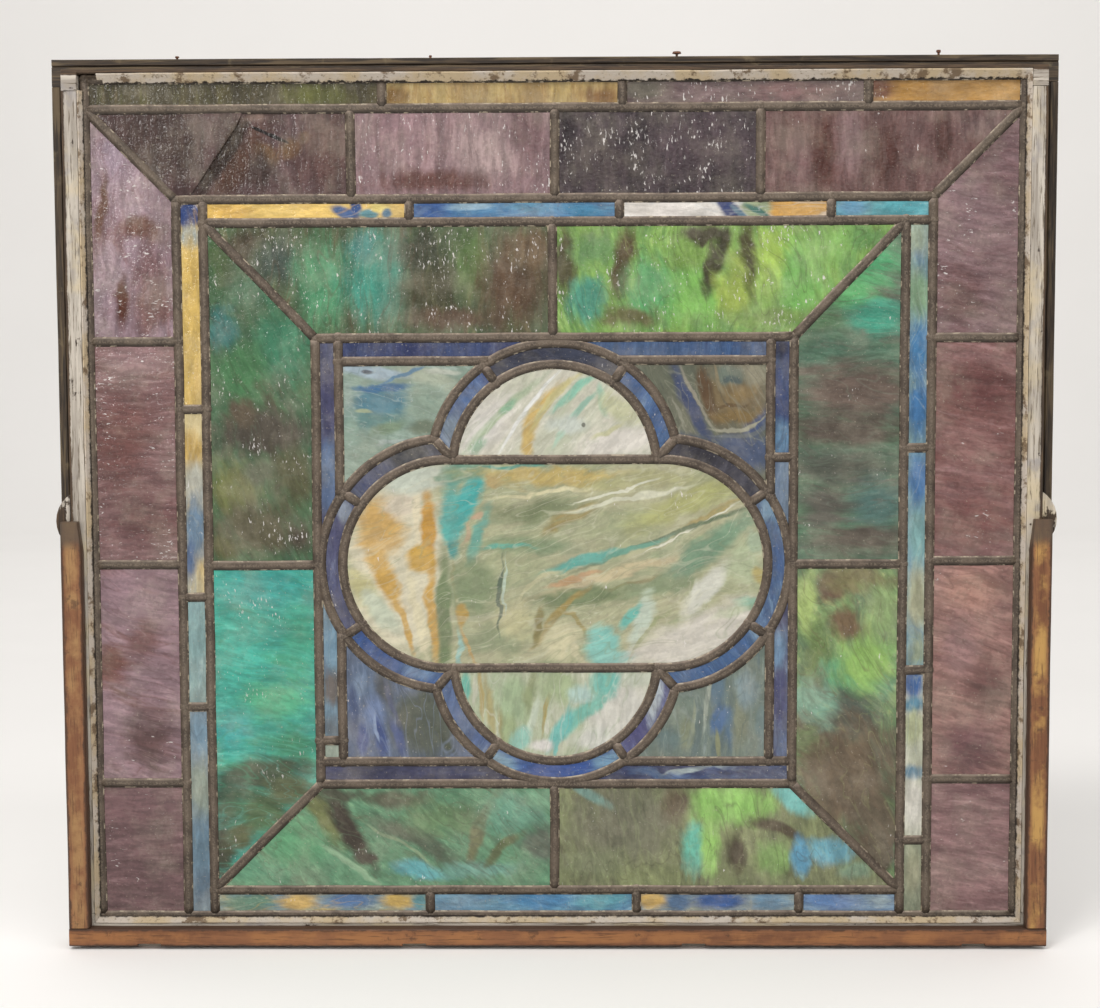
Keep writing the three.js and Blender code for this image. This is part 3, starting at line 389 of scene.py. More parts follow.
# Colours of each piece: streak angle, stretch, swirl in mm, four streak colours (ground, second, dark
# and light), then its pools of colour: x, z, half width, half height, turn, colour, softness and, where
# a pool is curved, how far in mm its ends are bowed up, or down with a minus sign
GLASS = {
    "glass_top_strip_1": (
        0, 6, 6, [(72, 69, 54), (96, 93, 68), (104, 108, 60), (120, 112, 90)],
        [(-228, 834, 30, 10, 0, (104, 112, 62), 0.6)],
    ),
    "glass_top_strip_2": (
        0, 5, 8, [(190, 148, 88), (214, 178, 112), (160, 120, 70), (226, 200, 150)],
        [(-151, 832, 14, 8, 0, (150, 110, 60), 0.6),
         (45, 831, 16, 8, 0, (150, 105, 62), 0.6)],
    ),
    "glass_top_strip_3": (
        90, 3, 8, [(112, 95, 104), (136, 118, 126), (86, 80, 80), (170, 160, 166)],
        [(84, 836, 20, 10, 0, (84, 82, 78), 0.6),
         (228, 835, 40, 8, 0, (140, 112, 118), 0.6)],
    ),
    "glass_top_strip_4": (
        90, 5, 8, [(192, 148, 76), (206, 164, 94), (160, 114, 54), (216, 188, 130)],
        [(305, 838, 22, 14, 0, (120, 78, 62), 0.5)],
    ),
    "glass_purple_top_1": (
        0, 6, 10, [(96, 78, 82), (118, 97, 104), (84, 66, 66), (134, 116, 124)],
        [(-387, 789, 52, 40, 0, (82, 66, 64), 0.5),
         # The next three pools, turned along the crack, are painted shadow that the proud half casts on the
         # sunk half.
         (-305, 768, 42, 14, 54, (96, 70, 58), 0.6),
         (-307, 795, 24, 8, 56, (72, 52, 42), 0.5),
         (-318, 776, 50, 7, 55, (52, 36, 28), 0.4),
         (-276, 776, 11, 9, -40, (134, 108, 76), 0.5),
         (-252, 782, 12, 8, 30, (142, 114, 78), 0.5),
         (-240, 794, 7, 7, 0, (138, 112, 80), 0.5),
         (-288, 812, 10, 5, 0, (150, 134, 130), 0.5),
         (-283, 800, 9, 1.6, -22, (30, 22, 20), 0.25),
         (-268, 793, 14, 1.8, -24, (26, 20, 18), 0.25),
         (-284, 763, 12, 16, 0, (74, 60, 58), 0.6),
         (-224, 780, 24, 36, 0, (110, 84, 84), 0.6)],
    ),
    "glass_purple_top_2": (
        0, 6, 10, [(140, 118, 128), (160, 136, 146), (118, 92, 96), (178, 160, 168)],
        [(-70, 778, 30, 24, -30, (176, 158, 164), 0.6),
         (-118, 751, 50, 10, 0, (110, 78, 76), 0.6),
         (-147, 799, 30, 20, 0, (152, 126, 138), 0.6),
         (-24, 799, 16, 24, 0, (120, 96, 104), 0.6)],
    ),
    "glass_purple_top_3": (
        0, 4, 8, [(56, 49, 56), (78, 68, 78), (46, 42, 46), (108, 100, 108)],
        [(141, 789, 40, 30, 0, (84, 72, 82), 0.7),
         (45, 770, 30, 20, 0, (70, 60, 68), 0.7)],
    ),
    "glass_purple_top_4": (
        0, 5, 10, [(118, 90, 88), (136, 106, 106), (92, 60, 56), (158, 138, 138)],
        [(262, 780, 14, 34, 0, (98, 62, 56), 0.6),
         (237, 768, 10, 26, 0, (132, 104, 106), 0.6),
         (285, 787, 14, 30, 0, (150, 124, 128), 0.6),
         (322, 776, 12, 34, 0, (92, 60, 56), 0.5),
         (350, 785, 14, 30, 0, (124, 96, 96), 0.6),
         (375, 790, 9, 26, 0, (98, 68, 64), 0.5),
         (415, 803, 24, 14, 0, (122, 98, 100), 0.6)],
    ),
    "glass_purple_left_1": (
        0, 4, 20, [(146, 126, 142), (166, 148, 166), (124, 96, 104), (184, 168, 180)],
        [(-438, 732, 5, 36, -8, (112, 84, 74), 0.6),
         (-400, 705, 20, 11, -10, (116, 82, 76), 0.5),
         (-419, 639, 6, 24, -6, (98, 56, 44), 0.5),
         (-390, 665, 16, 26, 0, (132, 104, 112), 0.6),
         (-425, 780, 12, 30, 0, (160, 146, 168), 0.6),
         (-390, 627, 18, 20, 0, (128, 98, 100), 0.7)],
    ),
    "glass_purple_left_2": (
        90, 6, 8, [(128, 98, 102), (148, 120, 126), (108, 74, 74), (168, 146, 152)],
        [(-411, 579, 32, 14, 0, (150, 124, 132), 0.6),
         (-423, 501, 30, 40, 0, (120, 84, 84), 0.7),
         (-405, 423, 30, 24, 0, (112, 80, 84), 0.7)],
    ),
    "glass_purple_left_3": (
        78, 5, 12, [(144, 120, 134), (166, 142, 158), (116, 86, 88), (180, 160, 172)],
        [(-426, 345, 26, 24, 0, (158, 134, 150), 0.6),
         (-438, 280, 18, 18, 0, (126, 80, 76), 0.6),
         (-400, 206, 24, 30, 0, (104, 80, 84), 0.7),
         (-408, 305, 16, 20, -30, (122, 92, 96), 0.6)],
    ),
    "glass_purple_left_4": (
        90, 5, 10, [(112, 88, 94), (134, 106, 114), (96, 72, 76), (150, 126, 134)],
        [(-432, 131, 24, 16, 0, (134, 104, 112), 0.7)],
    ),
    "glass_purple_right_1": (
        80, 4, 14, [(124, 98, 106), (146, 122, 132), (104, 78, 84), (164, 144, 154)],
        [(410, 780, 26, 20, 0, (112, 86, 94), 0.7),
         (406, 718, 30, 20, 0, (142, 118, 128), 0.6),
         (393, 637, 20, 26, 0, (118, 90, 94), 0.6),
         (436, 665, 14, 30, 0, (134, 110, 118), 0.6)],
    ),
    "glass_purple_right_2": (
        80, 5, 14, [(128, 90, 90), (146, 112, 116), (108, 72, 72), (160, 132, 138)],
        [(408, 550, 30, 20, 0, (110, 72, 74), 0.6),
         (409, 492, 26, 22, 0, (140, 104, 106), 0.6),
         (410, 423, 30, 22, 0, (128, 86, 88), 0.6)],
    ),
    "glass_purple_right_3": (
        76, 5, 14, [(150, 116, 114), (172, 136, 134), (118, 86, 88), (186, 156, 154)],
        [(406, 353, 26, 20, 0, (178, 138, 130), 0.6),
         (397, 295, 16, 30, 0, (160, 128, 132), 0.6),
         (422, 256, 20, 20, 0, (124, 92, 92), 0.6),
         (408, 196, 30, 26, 0, (122, 90, 96), 0.6)],
    ),
    "glass_purple_right_4": (
        80, 5, 10, [(112, 84, 92), (132, 104, 112), (96, 70, 76), (150, 126, 136)],
        [(404, 116, 26, 20, 0, (126, 98, 106), 0.7)],
    ),
    "glass_green_top_left": (
        0, 5, 14, [(66, 92, 66), (80, 112, 80), (82, 72, 56), (120, 130, 96)],
        [(-302, 689, 30, 14, 40, (66, 66, 52), 0.6),
         (-266, 673, 22, 20, 0, (64, 88, 84), 0.6),
         (-224, 651, 26, 40, 0, (58, 150, 108), 0.6),
         (-171, 660, 30, 44, 0, (52, 150, 138), 0.6),
         (-185, 688, 14, 14, 0, (64, 140, 140), 0.6),
         (-119, 646, 30, 34, 0, (70, 78, 58), 0.6),
         (-129, 685, 24, 20, 0, (56, 70, 56), 0.6),
         (-81, 673, 14, 30, 0, (84, 128, 70), 0.6),
         (-40, 651, 32, 40, 0, (86, 72, 56), 0.6),
         (-23, 685, 20, 18, 0, (98, 86, 64), 0.6),
         (-96, 619, 40, 10, 0, (92, 82, 70), 0.6)],
    ),
    "glass_green_top_right": (
        10, 4, 24, [(96, 160, 84), (120, 184, 84), (74, 84, 52), (150, 200, 110)],
        [(12, 673, 10, 34, 0, (76, 82, 56), 0.5),
         (33, 637, 18, 22, 0, (66, 158, 140), 0.5),
         (37, 685, 16, 16, 0, (92, 150, 92), 0.6),
         (66, 673, 10, 34, -12, (84, 80, 54), 0.5),
         (98, 646, 26, 30, 0, (72, 168, 104), 0.6),
         (76, 619, 24, 10, 0, (98, 110, 70), 0.6),
         (141, 637, 30, 26, 0, (108, 190, 84), 0.6),
         (132, 683, 22, 16, 0, (104, 160, 70), 0.6),
         (157, 673, 9, 34, -14, (60, 68, 44), 0.4),
         (145, 698, 26, 8, 0, (58, 62, 44), 0.5),
         (188, 677, 10, 38, 6, (70, 76, 48), 0.4),
         (175, 646, 14, 30, 0, (150, 196, 80), 0.6),
         (215, 673, 18, 30, 0, (152, 208, 84), 0.6),
         (238, 656, 22, 34, 0, (106, 194, 92), 0.6),
         (276, 690, 30, 14, 30, (112, 184, 90), 0.6),
         (303, 694, 16, 12, 0, (86, 150, 80), 0.6),
         (209, 619, 40, 8, 0, (110, 160, 80), 0.6)],
    ),
    "glass_green_left_upper": (
        20, 4, 20, [(60, 110, 76), (76, 130, 86), (72, 78, 58), (96, 140, 110)],
        [(-326, 673, 14, 22, 0, (64, 104, 56), 0.6),
         (-293, 646, 26, 16, 20, (56, 128, 90), 0.6),
         (-323, 608, 12, 20, 0, (52, 136, 130), 0.6),
         (-263, 593, 24, 34, 0, (56, 146, 106), 0.6),
         (-305, 567, 24, 24, 0, (66, 138, 84), 0.6),
         (-253, 637, 12, 16, 0, (64, 88, 66), 0.6),
         (-284, 509, 46, 24, 0, (76, 80, 68), 0.5),
         (-305, 530, 14, 14, 0, (92, 92, 72), 0.6),
         (-315, 453, 24, 28, 0, (100, 122, 62), 0.6),
         (-285, 472, 16, 12, 0, (96, 120, 92), 0.6),
         (-258, 462, 18, 30, 0, (82, 96, 62), 0.6),
         (-292, 414, 40, 24, 0, (84, 92, 64), 0.6),
         (-253, 404, 14, 16, 0, (70, 72, 56), 0.6),
         (-325, 396, 14, 12, 0, (92, 106, 60), 0.6)],
    ),
    "glass_green_left_lower": (
        80, 4, 16, [(48, 158, 140), (62, 176, 150), (56, 150, 110), (96, 196, 176)],
        [(-287, 355, 46, 20, 0, (44, 160, 150), 0.6),
         (-251, 305, 16, 30, 0, (54, 160, 128), 0.6),
         (-310, 285, 26, 34, 0, (52, 172, 150), 0.6),
         (-276, 246, 30, 20, 0, (70, 176, 130), 0.6),
         (-319, 216, 18, 20, 0, (46, 166, 160), 0.6),
         (-262, 201, 26, 16, 0, (52, 132, 96), 0.6),
         (-290, 170, 50, 16, 10, (64, 84, 62), 0.5),
         (-324, 146, 18, 24, 0, (52, 88, 66), 0.6),
         (-291, 134, 30, 22, 0, (72, 104, 66), 0.6),
         (-331, 96, 12, 26, 0, (58, 66, 48), 0.6),
         (-263, 156, 24, 14, 0, (90, 104, 70), 0.6),
         (-313, 108, 16, 12, 45, (84, 96, 60), 0.6)],
    ),
    "glass_green_right_upper": (
        85, 5, 16, [(58, 98, 76), (72, 114, 82), (76, 76, 66), (96, 128, 104)],
        [(305, 673, 30, 22, 0, (52, 146, 88), 0.6),
         (279, 644, 36, 18, 0, (66, 148, 82), 0.6),
         (261, 617, 24, 14, 0, (60, 104, 66), 0.6),
         (312, 619, 24, 18, 0, (44, 140, 108), 0.6),
         (287, 588, 50, 14, 0, (58, 100, 76), 0.6),
         (289, 548, 54, 26, 0, (80, 76, 64), 0.5),
         (287, 511, 54, 18, 0, (70, 70, 58), 0.5),
         (278, 474, 46, 18, 0, (66, 80, 66), 0.6),
         (313, 438, 26, 24, 0, (58, 98, 88), 0.6),
         (265, 433, 24, 20, 0, (72, 80, 68), 0.6),
         (298, 402, 44, 14, 0, (70, 72, 60), 0.6)],
    ),
    "glass_green_right_lower": (
        30, 3, 26, [(72, 110, 74), (96, 140, 80), (86, 78, 56), (130, 156, 90)],
        [(246, 341, 9, 30, 0, (124, 164, 84), 0.5),
         (269, 357, 16, 14, 20, (84, 74, 54), 0.5),
         (300, 362, 36, 10, 0, (96, 104, 64), 0.6),
         (318, 333, 18, 24, 0, (104, 146, 84), 0.6),
         (284, 320, 18, 14, -30, (92, 84, 56), 0.5),
         (260, 285, 14, 30, -10, (84, 120, 60), 0.6),
         (289, 270, 34, 18, 10, (64, 142, 96), 0.5),
         (323, 274, 16, 20, 0, (58, 132, 108), 0.6),
         (252, 242, 10, 26, -20, (88, 76, 54), 0.5),
         (288, 226, 34, 22, 0, (58, 82, 70), 0.6),
         (319, 190, 20, 24, 0, (66, 78, 60), 0.6),
         (272, 180, 30, 16, 0, (88, 104, 62), 0.6),
         (310, 136, 26, 26, 0, (60, 66, 50), 0.6),
         (270, 146, 20, 16, -40, (72, 84, 54), 0.6),
         (326, 96, 10, 24, 0, (62, 60, 46), 0.6),
         (286, 167, 48, 56, 0, (84, 80, 58), 0.55),
         (253, 244, 16, 24, 40, (92, 150, 120), 0.5),
         (307, 282, 28, 26, 0, (106, 162, 72), 0.5),
         (313, 102, 18, 40, 0, (76, 76, 56), 0.5)],
    ),
    "glass_green_bottom_left": (
        50, 3, 14, [(84, 136, 100), (98, 152, 112), (84, 92, 68), (124, 170, 126)],
        [(-297, 75, 35, 13, 0, (92, 154, 116), 0.6),
         (-255, 105, 32, 24, 40, (84, 152, 104), 0.55),
         (-231, 132, 35, 10, -60, (108, 116, 66), 0.5),
         (-205, 113, 45, 10, -60, (62, 54, 44), 0.45, 5),
         (-187, 86, 14, 6, 0, (64, 58, 48), 0.5),
         (-137, 107, 54, 9, -28, (80, 98, 76), 0.5, -7),
         (-199, 77, 36, 3, -35, (132, 170, 132), 0.4),
         (-153, 101, 44, 2, -32, (124, 152, 114), 0.4, -3),
         (-136, 74, 27, 8, -8, (88, 166, 172), 0.45),
         (-160, 145, 33, 8, 0, (92, 98, 74), 0.55),
         (-214, 149, 20, 7, 0, (74, 78, 60), 0.5),
         (-107, 126, 35, 17, 0, (98, 132, 88), 0.6),
         (-78, 113, 41, 6, 70, (112, 116, 78), 0.5, -7),
         (-42, 131, 29, 20, 0, (98, 156, 128), 0.55),
         (-77, 75, 36, 9, 0, (104, 158, 140), 0.55),
         (-16, 101, 16, 19, 0, (86, 102, 86), 0.5),
         (-53, 97, 24, 5, 40, (98, 110, 72), 0.5, -3),
         (-15, 144, 14, 9, 0, (110, 160, 124), 0.5)],
    ),
    "glass_green_bottom_right": (
        8, 3, 12, [(100, 110, 72), (118, 130, 82), (70, 68, 48), (138, 158, 98)],
        [(70, 123, 55, 40, 0, (94, 98, 74), 0.6),
         (32, 151, 22, 5, -30, (94, 132, 118), 0.5),
         (167, 140, 44, 20, 0, (124, 182, 80), 0.5),
         (118, 140, 14, 18, 0, (90, 80, 58), 0.5),
         (137, 96, 12, 26, 0, (84, 170, 142), 0.4),
         (153, 96, 9, 30, 0, (124, 178, 78), 0.45),
         (178, 91, 9, 22, 0, (70, 62, 44), 0.5),
         (221, 117, 28, 6, -22, (78, 70, 50), 0.4, -4),
         (215, 85, 16, 18, 0, (114, 154, 78), 0.5),
         (242, 88, 9, 20, 0, (78, 144, 172), 0.4),
         (272, 93, 22, 13, 0, (86, 150, 164), 0.5),
         (232, 145, 22, 9, -40, (100, 174, 162), 0.5),
         (296, 74, 16, 8, 0, (104, 134, 104), 0.5),
         (37, 80, 26, 14, 0, (104, 114, 80), 0.5)],
    ),
    "glass_field_top_left": (
        80, 3, 16, [(144, 162, 142), (162, 178, 158), (120, 144, 130), (190, 198, 186)],
        [(-123, 563, 27, 8.5, -15, (184, 188, 162), 0.5),
         (-106, 569, 17, 3.4, 0, (194, 194, 174), 0.5),
         (-201, 543, 5, 16.9, 0, (166, 180, 164), 0.5),
         (-126, 538, 17, 16.9, 0, (152, 168, 146), 0.6),
         (-126, 514, 16, 5.1, 0, (130, 140, 116), 0.5),
         (-176, 522, 27, 11.8, 0, (112, 146, 138), 0.5),
         (-169, 541, 25, 14.7, 0, (92, 136, 148), 0.35),
         (-168, 552, 24, 3.9, 2, (72, 116, 154), 0.35),
         (-176, 567, 32, 5.6, -4, (176, 190, 196), 0.4),
         (-183, 567, 5, 1.7, 0, (112, 114, 118), 0.45),
         (-147, 565, 22, 1.7, 22, (112, 148, 172), 0.4),
         (-198, 509, 8, 16.9, 0, (150, 172, 152), 0.5),
         (-162, 514, 16, 5.6, 20, (134, 152, 122), 0.5),
         (-155, 500, 16, 2.3, 10, (178, 186, 174), 0.4),
         (-187, 530, 7, 2.3, -20, (168, 176, 140), 0.45)],
    ),
    "glass_field_top_right": (
        28, 4, 16, [(104, 106, 88), (122, 120, 98), (84, 88, 80), (160, 156, 132)],
        [(184, 488, 32, 17.5, 0, (84, 96, 124), 0.45),
         (131, 498, 20, 9, 0, (86, 94, 112), 0.5),
         (134, 533, 44, 7.3, -62, (74, 84, 116), 0.45, 3),
         (198, 519, 17, 9, 50, (80, 94, 128), 0.45),
         (173, 545, 30, 30.5, 0, (134, 112, 78), 0.4),
         (148, 546, 27, 6.2, -70, (104, 78, 54), 0.45, 2),
         (178, 523, 22, 6.2, 8, (142, 114, 70), 0.45, 6),
         (170, 564, 17, 10.2, 0, (118, 126, 110), 0.45),
         (173, 558, 8, 3.7, 0, (86, 98, 94), 0.5),
         (193, 565, 10, 11.8, 0, (158, 148, 120), 0.5),
         (184, 547, 12, 5.6, 30, (150, 122, 78), 0.5),
         (157, 560, 17, 2, -74, (152, 136, 104), 0.45, 2),
         (138, 540, 35, 2, -60, (160, 150, 128), 0.4, 3),
         (181, 510, 29, 2.3, 12, (176, 168, 142), 0.4, 10),
         (184, 504, 34, 1.7, 12, (112, 116, 120), 0.4, 10),
         (103, 552, 25, 9.6, -60, (112, 112, 92), 0.5),
         (121, 526, 17, 1.4, -70, (150, 146, 124), 0.4, 1),
         (173, 533, 17, 1.7, 8, (112, 88, 58), 0.45, 4)],
    ),
    "glass_field_bottom_left": (
        10, 4, 12, [(96, 106, 124), (112, 122, 146), (78, 84, 96), (146, 156, 178)],
        [(-129, 222, 38, 33.8, 0, (94, 98, 84), 0.4),
         (-188, 264, 14, 19.7, 0, (106, 122, 146), 0.5),
         (-194, 260, 7, 11.3, 0, (134, 150, 172), 0.45),
         (-168, 258, 18, 7.9, -70, (84, 88, 94), 0.5),
         (-179, 230, 11, 17.5, 0, (124, 140, 174), 0.45),
         (-199, 238, 4, 22.6, 0, (86, 98, 130), 0.5),
         (-174, 208, 20, 5.4, -82, (72, 88, 138), 0.45),
         (-191, 206, 5, 14.7, 0, (84, 98, 148), 0.45),
         (-156, 207, 21, 5.4, -72, (90, 102, 146), 0.45),
         (-161, 241, 28, 2.8, -74, (98, 102, 124), 0.45),
         (-179, 218, 14, 1.7, -84, (150, 164, 192), 0.4, 2),
         (-109, 204, 17, 3.4, -50, (84, 88, 72), 0.5)],
    ),
    "glass_field_bottom_right": (
        4, 5, 10, [(118, 130, 116), (134, 144, 128), (100, 114, 112), (158, 166, 156)],
        [(123, 232, 14, 17.5, 0, (130, 142, 124), 0.5),
         (128, 212, 8, 14.7, 0, (140, 144, 114), 0.5),
         (109, 204, 12, 11.8, 0, (110, 128, 122), 0.5),
         (159, 258, 8, 23.1, 0, (104, 126, 138), 0.5),
         (160, 224, 8, 14.7, -20, (88, 116, 152), 0.4),
         (174, 217, 7, 16.9, 0, (98, 122, 140), 0.5),
         (181, 227, 7, 31, 0, (140, 142, 116), 0.5),
         (149, 247, 32, 2.3, 84, (174, 178, 158), 0.4),
         (160, 200, 14, 2.3, -80, (150, 150, 112), 0.4),
         (188, 255, 11, 17.5, 0, (140, 158, 158), 0.5),
         (202, 218, 4, 22.6, 0, (124, 140, 134), 0.5),
         (135, 221, 23, 1.7, 82, (150, 154, 128), 0.45, 2)],
    ),
    "glass_centre_top": (
        -42, 5, 12, [(220, 212, 196), (206, 204, 182), (190, 192, 168), (232, 226, 216)],
        [(61, 499, 38, 11.8, 8, (232, 222, 212), 0.4),
         (-65, 516, 37, 16.9, 48, (226, 218, 210), 0.4),
         (-53, 526, 54, 4.2, 45, (182, 194, 164), 0.45, -3),
         (-45, 533, 10, 3.7, 40, (152, 190, 158), 0.5),
         (-73, 495, 11, 5.1, 40, (172, 196, 170), 0.5),
         (-25, 533, 54, 2, 54, (238, 234, 230), 0.35, -3),
         (-21, 520, 39, 7, 66, (212, 178, 108), 0.4, -11),
         (-3, 540, 37, 3.4, 50, (206, 192, 132), 0.45, -6),
         (19, 549, 28, 4.2, 38, (140, 200, 176), 0.4, -4),
         (19, 525, 34, 3.1, 50, (166, 202, 182), 0.45, -5),
         (47, 540, 14, 3.7, -75, (158, 200, 178), 0.5),
         (64, 532, 21, 10.7, -30, (204, 202, 164), 0.5),
         (14, 516, 17, 8.5, 0, (206, 210, 200), 0.5),
         (50, 509, 17, 2.5, 25, (206, 200, 162), 0.5),
         (29, 516, 2, 2.5, 0, (122, 122, 112), 0.35)],
    ),
    "glass_centre_middle": (
        -70, 4, 22, [(172, 174, 136), (192, 186, 150), (150, 160, 124), (214, 208, 182)],
        [(-155, 378, 48, 95.9, 0, (226, 214, 186), 0.35),
         (-188, 355, 11, 25.4, 30, (206, 196, 140), 0.5),
         (-172, 333, 25, 10.2, -52, (206, 210, 186), 0.4),
         (-170, 417, 21, 29.6, 0, (214, 170, 100), 0.45),
         (-166, 367, 32, 10.2, -64, (216, 168, 84), 0.4),
         (-148, 321, 32, 3.7, -72, (218, 174, 98), 0.4),
         (-152, 438, 17, 12.7, 0, (218, 202, 180), 0.5),
         (-135, 424, 25, 3.9, 90, (232, 216, 184), 0.4),
         (-124, 412, 39, 7, 90, (208, 152, 62), 0.35),
         (-131, 384, 14, 11.3, 0, (216, 168, 74), 0.45),
         (-120, 330, 47, 5.9, -85, (218, 170, 88), 0.4),
         (-132, 324, 41, 5.1, -78, (234, 220, 184), 0.4, -2),
         (-138, 462, 37, 11.8, 14, (208, 212, 196), 0.4),
         (-114, 465, 5, 2.8, 0, (150, 174, 150), 0.5),
         (-109, 333, 62, 6.8, 90, (122, 138, 98), 0.4),
         (-87, 468, 20, 10.2, 0, (114, 160, 140), 0.5),
         (-100, 424, 28, 11.8, 88, (92, 178, 170), 0.4),
         (-82, 445, 25, 9, 62, (78, 178, 174), 0.35, -3),
         (-75, 409, 26, 5.6, 72, (114, 174, 158), 0.5),
         (-99, 397, 12, 5.6, 86, (84, 156, 150), 0.45),
         (-78, 425, 7, 2.8, 32, (204, 170, 140), 0.4),
         (-85, 407, 10, 2.5, 78, (194, 170, 138), 0.4, 3),
         (-98, 358, 24, 2.3, -84, (180, 168, 128), 0.4, 1),
         (-79, 358, 25, 25.4, 0, (136, 150, 112), 0.55),
         (-62, 303, 25, 15.8, 0, (150, 158, 122), 0.5),
         (-90, 328, 5, 9.6, 0, (194, 158, 86), 0.35),
         (-85, 299, 20, 2, -70, (204, 170, 112), 0.4, 1),
         (-94, 296, 17, 3.4, 90, (160, 200, 190), 0.45),
         (5, 464, 82, 8.5, -2, (204, 178, 110), 0.45),
         (-6, 450, 48, 2.5, 6, (226, 214, 172), 0.4),
         (-40, 475, 31, 2.3, 0, (98, 156, 140), 0.4),
         (-62, 461, 8, 6.2, 0, (188, 164, 114), 0.5),
         (-15, 432, 48, 9.6, 6, (132, 140, 104), 0.5),
         (14, 426, 28, 6.2, 28, (168, 150, 98), 0.5, -2),
         (84, 461, 51, 7.3, 4, (180, 176, 128), 0.5),
         (72, 443, 65, 2.5, 12, (226, 222, 196), 0.4),
         (56, 449, 42, 1.4, 14, (232, 228, 206), 0.35),
         (126, 438, 54, 11.8, 20, (184, 182, 120), 0.5),
         (143, 422, 42, 3.4, 27, (178, 160, 108), 0.45),
         (134, 414, 48, 1.2, 28, (230, 224, 204), 0.3),
         (109, 407, 90, 2.5, 20, (112, 126, 98), 0.4, -3),
         (-23, 398, 42, 8.5, 0, (140, 156, 120), 0.5),
         (-45, 397, 25, 2.5, 2, (110, 174, 154), 0.45),
         (28, 383, 35, 5.4, 15, (92, 176, 164), 0.35, -2),
         (78, 394, 34, 3.4, 20, (112, 162, 142), 0.45),
         (56, 370, 82, 4.2, 15, (206, 188, 150), 0.4, -5),
         (19, 365, 31, 2.5, 18, (204, 164, 122), 0.4),
         (61, 358, 62, 2.5, 14, (160, 150, 110), 0.45, -3),
         (151, 394, 58, 11.8, 36, (126, 158, 128), 0.45),
         (33, 348, 51, 9, 6, (128, 140, 102), 0.5),
         (103, 357, 34, 8.5, 10, (144, 156, 120), 0.5),
         (2, 333, 37, 3.7, 48, (168, 146, 88), 0.4, -7),
         (-40, 324, 17, 16.9, 0, (202, 194, 150), 0.5),
         (5, 304, 17, 20.3, 0, (214, 204, 166), 0.45),
         (-18, 319, 18, 3.4, 76, (148, 136, 90), 0.45, -2),
         (-55, 347, 38, 2, 86, (104, 118, 100), 0.4, -3),
         (-50, 358, 27, 1.4, 85, (190, 204, 184), 0.4, -2),
         (-23, 358, 31, 2.8, 40, (196, 190, 150), 0.45, -6),
         (19, 324, 20, 2.5, -50, (176, 160, 108), 0.45, -4),
         (22, 293, 25, 2.8, -60, (206, 196, 160), 0.45, 3),
         (85, 324, 27, 9, 72, (206, 216, 198), 0.45),
         (46, 299, 16, 18, 0, (142, 206, 194), 0.35),
         (72, 328, 16, 4.8, 50, (120, 198, 184), 0.4, -2),
         (61, 287, 20, 6.2, 0, (156, 212, 200), 0.45),
         (89, 310, 31, 2.3, 52, (168, 172, 126), 0.4, -3),
         (143, 309, 70, 22, 22, (226, 216, 204), 0.35),
         (112, 292, 31, 11.3, 0, (228, 218, 206), 0.4),
         (148, 355, 34, 9, 50, (222, 218, 204), 0.4),
         (185, 378, 17, 22.6, 0, (190, 198, 160), 0.5),
         (199, 367, 8, 8.5, 0, (194, 176, 114), 0.5),
         (190, 338, 12, 5.1, 10, (144, 188, 164), 0.5),
         (173, 332, 20, 5.1, 16, (206, 208, 180), 0.5),
         (196, 401, 8, 10.2, 0, (176, 190, 160), 0.5)],
    ),
    "glass_centre_bottom": (
        -8, 4, 14, [(186, 194, 162), (206, 206, 180), (164, 178, 142), (226, 220, 208)],
        [(63, 235, 34, 26.8, 30, (222, 216, 206), 0.4),
         (41, 205, 25, 11.3, 0, (220, 216, 206), 0.4),
         (78, 265, 23, 6.8, 0, (206, 208, 190), 0.5),
         (-88, 258, 5, 16.9, 0, (120, 196, 176), 0.4),
         (-79, 253, 17, 2.3, 90, (208, 206, 182), 0.4),
         (-73, 250, 25, 2.3, -86, (196, 176, 118), 0.4),
         (-64, 232, 32, 4.2, -82, (178, 166, 116), 0.45),
         (-52, 218, 21, 3.4, -78, (168, 148, 92), 0.5),
         (-41, 244, 17, 25.4, 0, (168, 186, 146), 0.5),
         (-24, 253, 24, 5.6, 80, (152, 162, 118), 0.5),
         (-45, 212, 8, 14.1, 0, (162, 176, 130), 0.5),
         (-23, 225, 20, 3.7, 70, (206, 214, 192), 0.45),
         (-9, 237, 30, 2, 76, (178, 160, 98), 0.4, -3),
         (4, 258, 17, 16.9, 0, (176, 190, 146), 0.5),
         (24, 250, 12, 9, 0, (188, 214, 206), 0.5),
         (49, 261, 17, 13.5, 50, (120, 200, 186), 0.4),
         (27, 232, 32, 7.6, 42, (130, 198, 180), 0.4, -2),
         (4, 215, 23, 6.5, 62, (114, 196, 188), 0.4),
         (1, 197, 12, 2.3, 80, (132, 204, 196), 0.4),
         (-33, 207, 12, 8.5, 60, (152, 204, 188), 0.45),
         (-13, 200, 11, 7.3, 0, (236, 228, 222), 0.4)],
    ),
    "glass_ribbon_top_1": (
        90, 5, 8, [(206, 168, 82), (224, 190, 108), (190, 150, 76), (232, 204, 130)],
        [(-201, 721, 14, 5, -20, (60, 90, 140), 0.4),
         (-190, 727, 5, 8, 20, (50, 78, 130), 0.4),
         (-178, 720, 8, 4, 0, (90, 140, 150), 0.4),
         (-167, 727, 9, 5, 0, (216, 196, 110), 0.4),
         (-161, 720, 5, 5, -20, (64, 110, 140), 0.4),
         (-311, 723, 20, 6, 0, (200, 160, 80), 0.6)],
    ),
    "glass_ribbon_top_2": (
        90, 5, 10, [(58, 94, 142), (80, 124, 168), (48, 70, 116), (130, 160, 180)],
        [(-119, 724, 18, 8, 0, (54, 84, 136), 0.6),
         (-70, 723, 24, 8, 0, (62, 112, 150), 0.6),
         (-22, 725, 20, 8, 0, (80, 130, 160), 0.6),
